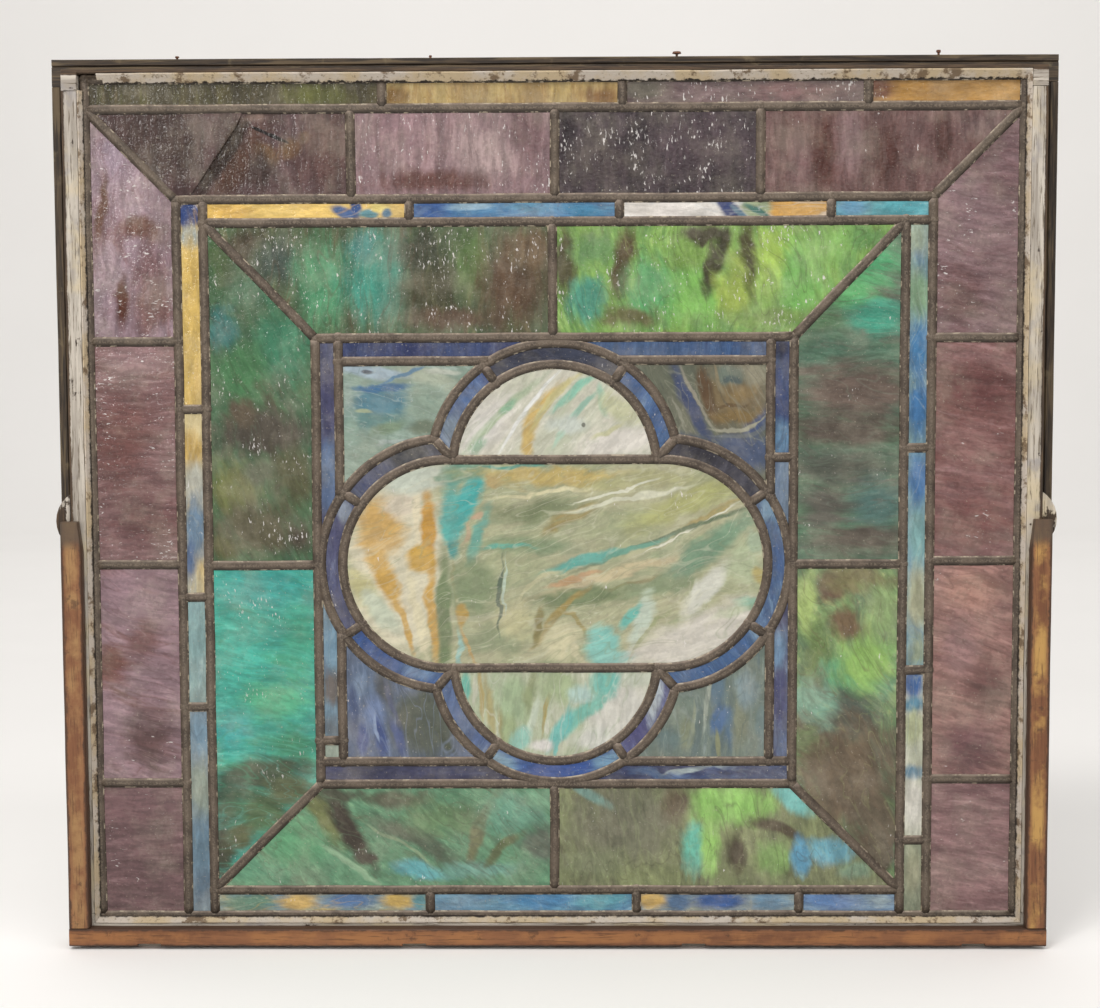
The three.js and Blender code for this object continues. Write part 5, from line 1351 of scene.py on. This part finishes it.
def lead_lines():
    """Every straight came as x, z of its two ends."""
    b, r, g, s, f = BORDER_X, RIBBON_X, GREEN_X, SQUARE_X, FIELD_X
    lines = [(-b, BORDER_BOTTOM, b, BORDER_BOTTOM), (-b, BORDER_TOP, b, BORDER_TOP),
             (-b, BORDER_BOTTOM, -b, BORDER_TOP), (b, BORDER_BOTTOM, b, BORDER_TOP),
             (-b, PURPLE_TOP, b, PURPLE_TOP), (-r, RIBBON_TOP, r, RIBBON_TOP),
             (-r, BORDER_BOTTOM, -r, RIBBON_TOP), (r, BORDER_BOTTOM, r, RIBBON_TOP),
             (-g, BORDER_BOTTOM, -g, RIBBON_TOP), (-g, GREEN_TOP, r, GREEN_TOP),
             (g, BORDER_BOTTOM, g, GREEN_TOP), (-g, GREEN_BOTTOM, g, GREEN_BOTTOM),
             (-s, SQUARE_BOTTOM, s, SQUARE_BOTTOM), (-s, SQUARE_TOP, s, SQUARE_TOP),
             (-s, SQUARE_BOTTOM, -s, SQUARE_TOP), (s, SQUARE_BOTTOM, s, SQUARE_TOP)]
    lines += [(x, PURPLE_TOP, x, BORDER_TOP) for x in TOP_STRIP[1:-1]]
    lines += [(x, RIBBON_TOP, x, PURPLE_TOP) for x in PURPLE_ROW[1:-1]]
    lines += [(-b, z, -r, z) for z in PURPLE_LEFT[1:-1]]
    lines += [(r, z, b, z) for z in PURPLE_RIGHT[1:-1]]
    lines += [(x, GREEN_TOP, x, RIBBON_TOP) for x in RIBBON_ROW[1:-1]]
    lines += [(-r, z, -g, z) for z in RIBBON_LEFT[1:-1]]
    lines += [(g, z, r, z) for z in RIBBON_RIGHT[1:-1]]
    lines += [(x, BORDER_BOTTOM, x, GREEN_BOTTOM) for x in RIBBON_FOOT[1:-1]]
    side_reach, end_reach = SIDE_LOBE_RADIUS + RING_WIDTH, END_LOBE_RADIUS + RING_WIDTH
    for side in (-1, 1):
        lines += [(side * b, PURPLE_TOP, side * r, RIBBON_TOP),
                  (side * g, GREEN_TOP, side * s, SQUARE_TOP),
                  (side * g, GREEN_BOTTOM, side * s, SQUARE_BOTTOM),
                  (side * g, GREEN_MID_Z, side * s, GREEN_MID_Z)]
        across = math.sqrt(side_reach ** 2 - (f - SIDE_LOBE_SHIFT) ** 2)
        lines += [(side * f, CENTRE_Z + across, side * f, SQUARE_TOP),
                  (side * f, FIELD_BOTTOM, side * f, CENTRE_Z - across)]
        top = math.sqrt(end_reach ** 2 - (FIELD_TOP - LOBES["top"][1]) ** 2)
        low = math.sqrt(end_reach ** 2 - (LOBES["bottom"][1] - FIELD_BOTTOM) ** 2)
        lines += [(side * top, FIELD_TOP, side * f, FIELD_TOP),
                  (side * low, FIELD_BOTTOM, side * s, FIELD_BOTTOM)]
    lines += [(GREEN_MID_X, SQUARE_TOP, GREEN_MID_X, GREEN_TOP),
              (GREEN_MID_X, GREEN_BOTTOM, GREEN_MID_X, SQUARE_BOTTOM),
              (f, BLUE_RIGHT_JOINT, s, BLUE_RIGHT_JOINT), (-s, BLUE_LEFT_JOINT, -f, BLUE_LEFT_JOINT)]
    for a, c in (("right", "top"), ("top", "left"), ("left", "bottom"), ("bottom", "right")):
        inner, outer = crossing(a, c, 0), crossing(a, c, RING_WIDTH)
        lines.append((inner.x, inner.y, outer.x, outer.y))
    for x, z, radius, axis in LOBES.values():
        rim = radius + RING_WIDTH
        for joint in (-RING_JOINT_ANGLE, RING_JOINT_ANGLE):
            turn = math.radians(axis + joint)
            lines.append((x + radius * math.cos(turn), z + radius * math.sin(turn),
                          x + rim * math.cos(turn), z + rim * math.sin(turn)))
    left, right = crossing("left", "top", 0), crossing("right", "top", 0)
    for z in (CENTRE_Z + SIDE_LOBE_RADIUS, CENTRE_Z - SIDE_LOBE_RADIUS):
        lines.append((left.x, z, right.x, z))
    return lines


# The lobes before and after each one
RING_ENDS = {
    "right": ("bottom", "top"),
    "top": ("right", "left"),
    "left": ("top", "bottom"),
    "bottom": ("left", "right"),
}


def lobe_span(lobe, growth):
    """Start and end angle of one lobe's circle between its two neighbours."""
    before, after = RING_ENDS[lobe]
    start = angle_from(lobe, crossing(lobe, before, growth))
    end = angle_from(lobe, crossing(lobe, after, growth))
    axis = LOBES[lobe][3]
    while start > axis:
        start -= 360
    while start < axis - 180:
        start += 360
    while end < axis:
        end += 360
    while end > axis + 180:
        end -= 360
    return start, end


def solder(x, z, seed):
    """A low drop of solder that joins the cames where they meet."""
    size = 5.6 + 1.2 * noise.noise(Vector((x, z, seed)) * 0.13)
    half = (LEAD_BACK - LEAD_FRONT) / 2 + 0.35
    bm = bmesh.new()
    bmesh.ops.create_uvsphere(bm, u_segments=14, v_segments=8, radius=1.0)
    bmesh.ops.rotate(bm, verts=bm.verts, matrix=Matrix.Rotation(math.pi / 2, 3, "X"))
    bmesh.ops.scale(bm, verts=bm.verts, vec=(size * MM, half * MM, size * MM))
    bmesh.ops.translate(bm, verts=bm.verts, vec=at(x, (LEAD_FRONT + LEAD_BACK) / 2, z))
    bmesh.ops.recalc_face_normals(bm, faces=bm.faces)
    uv = bm.loops.layers.uv.new("UVMap")
    for face in bm.faces:
        for loop in face.loops:
            loop[uv].uv = (loop.vert.co.x, 0.42)
    return bm


def make_lead():
    """The whole net of cames, soldered at its joints and a little uneven."""
    bm = bmesh.new()
    bm.loops.layers.uv.new("UVMap")
    lines = lead_lines()
    parts = [straight_came(*line) for line in lines]
    for lobe, (_, _, radius, _) in LOBES.items():
        parts.append(curved_came(lobe, radius, *lobe_span(lobe, 0)))
        parts.append(curved_came(lobe, radius + RING_WIDTH, *lobe_span(lobe, RING_WIDTH)))
    spots = {}
    for x0, z0, x1, z1 in lines:
        for x, z in ((x0, z0), (x1, z1)):
            spots[(round(x / JOINT_REACH), round(z / JOINT_REACH))] = (x, z)
    parts += [solder(x, z, k) for k, (x, z) in enumerate(spots.values())]
    for part in parts:
        gathered(part, bm)
    for vert in bm.verts:
        drift = wander(vert.co, 0.06) * 0.0005 + wander(vert.co, 0.012, 5.0) * 0.00016
        vert.co += Vector((drift.x, drift.y * 0.25, drift.z))
    bm.normal_update()
    # How much each point faces a light from above and a little to the left; the lead's painted highlight and
    # painted shade follow it.
    upper = bm.verts.layers.float.new("upper")
    for vert in bm.verts:
        vert[upper] = 0.5 + 0.5 * vert.normal.dot(Vector((-0.3, 0, 0.95)))
    net = finished("lead_net", bm, LEAD)
    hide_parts("lead_cames")


# Glass that the solids hold in longer runs

def plate(bm, points):
    """A flat sheet as thick as the glass, drawn by its corners from the front."""
    verts = [bm.verts.new(at(x, GLASS_FRONT, z)) for x, z in points]
    face = bm.faces.new(verts)
    thicken(bm, [face])


def thicken(bm, faces):
    """Gives flat faces the thickness of the glass, towards the back."""
    made = bmesh.ops.extrude_face_region(bm, geom=faces)
    moved = [g for g in made["geom"] if isinstance(g, bmesh.types.BMVert)]
    bmesh.ops.translate(bm, verts=moved, vec=at(0, GLASS_BACK - GLASS_FRONT, 0))
    bmesh.ops.recalc_face_normals(bm, faces=bm.faces)


made_glass = []


def glass_piece(name, bm, run):
    """One piece of glass, which stands with its neighbours for a longer run in the solids."""
    piece = finished(name, bm, glass_material(name, len(made_glass) + 1), smooth=False)
    made_glass.append(name)
    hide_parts(run)


def sheet_of_glass(name, points, run):
    bm = bmesh.new()
    plate(bm, points)
    glass_piece(name, bm, run)


def box_outline(x0, z0, x1, z1):
    return [(x0 + PLAY, z0 + PLAY), (x1 - PLAY, z0 + PLAY), (x1 - PLAY, z1 - PLAY), (x0 + PLAY, z1 - PLAY)]


def make_ribbons():
    """The narrow pieces round the green band, four to a side."""
    for k in range(4):
        spans = {
            "top": (RIBBON_ROW[k], GREEN_TOP, RIBBON_ROW[k + 1], RIBBON_TOP),
            "bottom": (RIBBON_FOOT[k], BORDER_BOTTOM, RIBBON_FOOT[k + 1], GREEN_BOTTOM),
            "left": (-RIBBON_X, RIBBON_LEFT[k + 1], -GREEN_X, RIBBON_LEFT[k]),
            "right": (GREEN_X, RIBBON_RIGHT[k + 1], RIBBON_X, RIBBON_RIGHT[k]),
        }
        for side, span in spans.items():
            run = f"glass_ribbon_{side}"
            sheet_of_glass(f"{run}_{k + 1}", box_outline(*span), run)


def make_blue_strips():
    """The strips at the corners of the square; most end where a lobe of the ring cuts them."""
    s, f, start = SQUARE_X, FIELD_X, STRIP_START
    top, low = CENTRE_Z + start, CENTRE_Z - start
    strips = [
        ("top_left", 1, (-s, top, -f, SQUARE_TOP), "left"),
        ("top_left", 2, (-f, FIELD_TOP, -start, SQUARE_TOP), "top"),
        ("top_right", 1, (start, FIELD_TOP, f, SQUARE_TOP), "top"),
        ("top_right", 2, (f, BLUE_RIGHT_JOINT, s, SQUARE_TOP), None),
        ("top_right", 3, (f, top, s, BLUE_RIGHT_JOINT), "right"),
        ("bottom_right", 1, (f, FIELD_BOTTOM, s, low), "right"),
        ("bottom_right", 2, (start, SQUARE_BOTTOM, s, FIELD_BOTTOM), "bottom"),
        ("bottom_left", 1, (-s, SQUARE_BOTTOM, -start, FIELD_BOTTOM), "bottom"),
        ("bottom_left", 2, (-s, BLUE_LEFT_JOINT, -f, low), "left"),
        ("bottom_left", 3, (-s, FIELD_BOTTOM, -f, BLUE_LEFT_JOINT), None),
    ]
    for corner, k, span, lobe in strips:
        bm = bmesh.new()
        points = box_outline(*span)
        if lobe:
            points = clipped(points, lobe)
        plate(bm, points)
        glass_piece(f"glass_blue_{corner}_{k}", bm, f"glass_blue_{corner}")


def clipped(points, lobe):
    """The corners of a strip whose end is cut round by a lobe's outer came."""
    x, z, radius, _ = LOBES[lobe]
    reach = radius + RING_WIDTH + PLAY
    count = 12
    xs, zs = [p[0] for p in points], [p[1] for p in points]
    x0, x1, z0, z1 = min(xs), max(xs), min(zs), max(zs)
    upright = (z1 - z0) > (x1 - x0)
    arc = []
    for k in range(count + 1):
        if upright:
            px = x0 + (x1 - x0) * k / count
            gap = reach ** 2 - (px - x) ** 2
            pz = math.sqrt(max(gap, 0)) * (1 if (z0 + z1) / 2 > z else -1) + z
            arc.append((px, min(max(pz, z0), z1)))
        else:
            pz = z0 + (z1 - z0) * k / count
            gap = reach ** 2 - (pz - z) ** 2
            px = math.sqrt(max(gap, 0)) * (1 if (x0 + x1) / 2 > x else -1) + x
            arc.append((min(max(px, x0), x1), pz))
    if upright:
        far = z1 if (z0 + z1) / 2 > z else z0
        return arc + [(x1, far), (x0, far)]
    far = x1 if (x0 + x1) / 2 > x else x0
    return arc + [(far, z1), (far, z0)]


def make_ring():
    """The twelve pieces round the quatrefoil, three to a lobe."""
    number = 1
    for lobe in ("right", "top", "left", "bottom"):
        x, z, radius, axis = LOBES[lobe]
        inner_start, inner_end = lobe_span(lobe, 0)
        outer_start, outer_end = lobe_span(lobe, RING_WIDTH)
        low, high = axis - RING_JOINT_ANGLE, axis + RING_JOINT_ANGLE
        for (a0, a1), (b0, b1) in (((inner_start, low), (outer_start, low)), ((low, high), (low, high)),
                                   ((high, inner_end), (high, outer_end))):
            play = math.degrees(PLAY / radius)
            inner = arc_points(x, z, radius + PLAY, a0 + play, a1 - play)
            outer = arc_points(x, z, radius + RING_WIDTH - PLAY, b0 + play, b1 - play)
            bm = bmesh.new()
            rows = [[bm.verts.new(at(px, GLASS_FRONT, pz)) for px, pz in row] for row in (inner, outer)]
            loops = [[bm.edges.new(pair) for pair in zip(row, row[1:])] for row in rows]
            faces = bmesh.ops.bridge_loops(bm, edges=loops[0] + loops[1])["faces"]
            thicken(bm, faces)
            glass_piece(f"glass_ring_{number}", bm, "glass_ring")
            number += 1


def arc_points(x, z, radius, start, end):
    count = 20
    turns = [math.radians(start + (end - start) * k / count) for k in range(count + 1)]
    return [(x + radius * math.cos(t), z + radius * math.sin(t)) for t in turns]


def make_broken_pane():
    """The first purple piece of the top row: at the crack one half stands proud and one has sunk."""
    name = "glass_purple_top_1"
    left, right, low, high = -BORDER_X, PURPLE_ROW[1], RIBBON_TOP, PURPLE_TOP
    foot, tip = Vector((-353, 736.5)), Vector((-299, 819.5))
    material = glass_material(name, 7)
    halves = {
        "near": ([(left + 3, high - PLAY), (-RIBBON_X + 1, low + PLAY), (foot.x, low + PLAY),
                  (-305.8, 804.3), (tip.x, high - PLAY)], -1.5),
        "far": ([(foot.x - 4, low + PLAY), (right - PLAY, low + PLAY), (right - PLAY, high - PLAY),
                 (tip.x - 5, high - PLAY), (-312, 801.5)], 1.7),
    }
    for half, (points, lean) in halves.items():
        bm = bmesh.new()
        plate(bm, points)
        bmesh.ops.triangulate(bm, faces=bm.faces)
        bmesh.ops.subdivide_edges(bm, edges=bm.edges, cuts=7, use_grid_fill=True)
        for vert in bm.verts:
            x, z = vert.co.x / MM, vert.co.z / MM
            edge = foot.x + (tip.x - foot.x) * (z - foot.y) / (tip.y - foot.y)
            held = min(1.0, (z - low) / 14, (high - z) / 10, max(0.0, 1 - abs(x - edge) / 70))
            vert.co.y += lean * max(0.0, held) * MM
        bmesh.ops.recalc_face_normals(bm, faces=bm.faces)
        piece = finished(f"{name}_{half}_half", bm, material, smooth=False)
        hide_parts(name)


# Wood and putty

def dressed(node, name, material, bevel, spacing, along, drift):
    """A finer copy of a solid: eased edges, cut across every so often, then made a little uneven."""
    bm = bmesh.new()
    bm.from_mesh(nodes[node].data)
    bmesh.ops.remove_doubles(bm, verts=bm.verts, dist=1e-6)
    bmesh.ops.dissolve_limit(bm, angle_limit=math.radians(1), verts=bm.verts, edges=bm.edges)
    sharp = [e for e in bm.edges if len(e.link_faces) == 2 and e.calc_face_angle() > math.radians(28)]
    bmesh.ops.bevel(bm, geom=sharp, offset=bevel * MM, segments=2, affect="EDGES", profile=0.5,
                    material=-1, clamp_overlap=True)
    bmesh.ops.triangulate(bm, faces=bm.faces)
    low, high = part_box(node)
    axis = {"x": Vector((1, 0, 0)), "z": Vector((0, 0, 1))}
    for direction in along:
        way = axis[direction]
        start, end = low.dot(way), high.dot(way)
        count = max(2, round((end - start) / (spacing * MM)))
        for k in range(1, count):
            bmesh.ops.bisect_plane(bm, geom=bm.verts[:] + bm.edges[:] + bm.faces[:],
                                   plane_co=way * (start + (end - start) * k / count), plane_no=way)
    for vert in bm.verts:
        vert.co += wander(vert.co, 0.07) * drift * MM + wander(vert.co, 0.009, 3.0) * drift * 0.35 * MM
    for axis_index in range(3):
        for vert in bm.verts:
            vert.co[axis_index] = min(max(vert.co[axis_index], low[axis_index]), high[axis_index])
    piece = finished(name, bm, material, smooth=False)
    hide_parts(node)


def make_wood():
    paint_up = paint_material("old_paint_upright", "z", 0.64, 470.0)
    paint_across = paint_material("old_paint_across", "x", 0.62, 853.0)
    varnish_left = varnish_material("varnish_left", "z", 470.0, 10.0, (164, 128, 84))
    varnish_right = varnish_material("varnish_right", "z", 470.0, 10.0, (190, 150, 86))
    varnish_across = varnish_material("varnish_across", "x", 12.0, 9.0, (158, 108, 66))
    dark_up = dark_wood_material("dark_bead_upright", "z")
    dark_across = dark_wood_material("dark_bead_across", "x")
    block = paint_material("pivot_paint", "z", 0.46, 600.0)
    for side in ("left", "right"):
        dressed(f"sash_stile_{side}", f"stile_{side}", paint_up, 0.8, 12, "z", 0.25)
        varnish = varnish_left if side == "left" else varnish_right
        dressed(f"front_bead_{side}", f"lower_bead_{side}", varnish, 0.5, 12, "z", 0.3)
        dressed(f"back_bead_{side}", f"upper_bead_{side}", dark_up, 0.3, 12, "z", 0.25)
        dressed(f"pivot_block_{side}", f"pivot_swelling_{side}", block, 0.5, 6, "z", 0.3)
    dressed("sash_rail_top", "rail_top", paint_across, 0.8, 12, "x", 0.25)
    dressed("sash_rail_bottom", "rail_bottom", paint_across, 0.8, 12, "x", 0.25)
    dressed("front_bead_bottom", "lower_bead_bottom", varnish_across, 0.5, 12, "x", 0.3)
    dressed("back_bead_top", "upper_bead_top", dark_across, 0.3, 12, "x", 0.25)
    dressed("glazing_putty", "putty_run", putty_material(), 0.4, 6, "xz", 0.7)


def dress_nodes():
    """The single panes and the nails keep their solids and get their finish."""
    iron = iron_material()
    for number, (name, node) in enumerate(sorted(nodes.items())):
        if name in GLASS and name != "glass_purple_top_1":
            node.data.materials.clear()
            node.data.materials.append(glass_material(name, number + 50))
        if name.startswith("top_nail"):
            node.data.materials.clear()
            node.data.materials.append(iron)


# Floor, light and camera

# Sizes of the stage in metres
FLOOR_REACH, FLOOR_END, SWEEP_RADIUS, WALL_HEIGHT = 6.0, 4.2, 1.0, 4.0


def make_stage():
    """A pale floor that curves up into a wall behind the window."""
    bm = bmesh.new()
    bmesh.ops.create_grid(bm, x_segments=1, y_segments=1, size=FLOOR_REACH)
    back = [e for e in bm.edges if all(v.co.y > 0 for v in e.verts)]
    for vert in bm.verts:
        if vert.co.y > 0:
            vert.co.y = FLOOR_END
    bmesh.ops.spin(bm, geom=back, cent=(0, FLOOR_END, SWEEP_RADIUS), axis=(1, 0, 0), angle=math.pi / 2,
                   steps=24, dvec=(0, 0, 0), use_merge=False, use_normal_flip=False, use_duplicate=False)
    top = [e for e in bm.edges if all(v.co.z > SWEEP_RADIUS * 0.999 for v in e.verts)]
    made = bmesh.ops.extrude_edge_only(bm, edges=top)
    raised = [g for g in made["geom"] if isinstance(g, bmesh.types.BMVert)]
    bmesh.ops.translate(bm, verts=raised, vec=(0, 0, WALL_HEIGHT))
    bmesh.ops.recalc_face_normals(bm, faces=bm.faces)
    mesh = bpy.data.meshes.new("sweep")
    bm.to_mesh(mesh)
    bm.free()
    sweep = bpy.data.objects.new("pale_sweep", mesh)
    for polygon in mesh.polygons:
        polygon.use_smooth = True
    bpy.context.scene.collection.objects.link(sweep)
    material, t, shader, place = new_material("pale_floor")
    tone = t.mix(t.noise(place, 3.0, 2.0, 0.5).outputs["Fac"], paint(250, 249, 248), paint(246, 245, 244))
    wire(t, tone, shader.inputs["Base Color"])
    shader.inputs["Roughness"].default_value = 0.9
    mesh.materials.append(material)


def area_light(name, place, aim, size, power, colour):
    light = bpy.data.lights.new(name, "AREA")
    light.shape = "RECTANGLE"
    light.size, light.size_y = size
    light.energy = power
    light.color = colour
    lamp = bpy.data.objects.new(name, light)
    lamp.location = place
    lamp.rotation_euler = (Vector(aim) - Vector(place)).to_track_quat("-Z", "Y").to_euler()
    bpy.context.scene.collection.objects.link(lamp)


def make_light():
    world = bpy.data.worlds.new("studio")
    world.use_nodes = True
    world.node_tree.nodes["Background"].inputs[0].default_value = (1.0, 0.975, 0.935, 1)
    world.node_tree.nodes["Background"].inputs[1].default_value = 0.54
    bpy.context.scene.world = world
    area_light("key_above", (-0.9, -2.0, 3.1), (0, 0, 0.4), (0.9, 0.6), 36, (1, 0.97, 0.93))
    area_light("glint_left", (-1.3, -2.3, 1.1), (0, 0, 0.5), (0.25, 0.25), 5, (1, 0.98, 0.95))
    area_light("side_wash", (0, 1.4, 3.0), (0, 1.6, 0.0), (6.0, 0.6), 19, (1, 0.98, 0.97))
    area_light("back_wash", (0, 2.6, 3.2), (0, 5.0, 0.9), (5.0, 0.8), 30, (1, 0.98, 0.96))
    area_light("floor_wash", (0, -0.8, 1.9), (0, -0.8, 0.0), (3.4, 0.4), 16, (1, 0.98, 0.98))
    area_light("fill_front", (0.2, -2.6, 1.3), (0, 0, 0.45), (3.0, 0.8), 7, (1, 0.98, 0.97))


def make_camera():
    data = bpy.data.cameras.new("photo_view")
    camera = bpy.data.objects.new("photo_view", data)
    data.sensor_width = 36
    data.lens = 67.0
    camera.location = (0.0217, -2.0, 0.602)
    camera.rotation_mode = "QUATERNION"
    swing, dip, lean = math.radians(-0.76), math.radians(4.696), math.radians(0.228)
    ahead = Vector((math.sin(swing) * math.cos(dip), math.cos(swing) * math.cos(dip), -math.sin(dip)))
    roll = Matrix.Rotation(lean, 4, ahead)
    camera.rotation_quaternion = (roll @ ahead.to_track_quat("-Z", "Y").to_matrix().to_4x4()).to_quaternion()
    bpy.context.scene.collection.objects.link(camera)
    bpy.context.scene.camera = camera


def main():
    bpy.context.scene.view_settings.view_transform = "Standard"
    for step in (make_camera, make_light, make_stage, make_lead, make_ribbons, make_blue_strips, make_ring,
                 make_broken_pane, make_wood, dress_nodes):
        step()


LEAD = lead_material()
main()
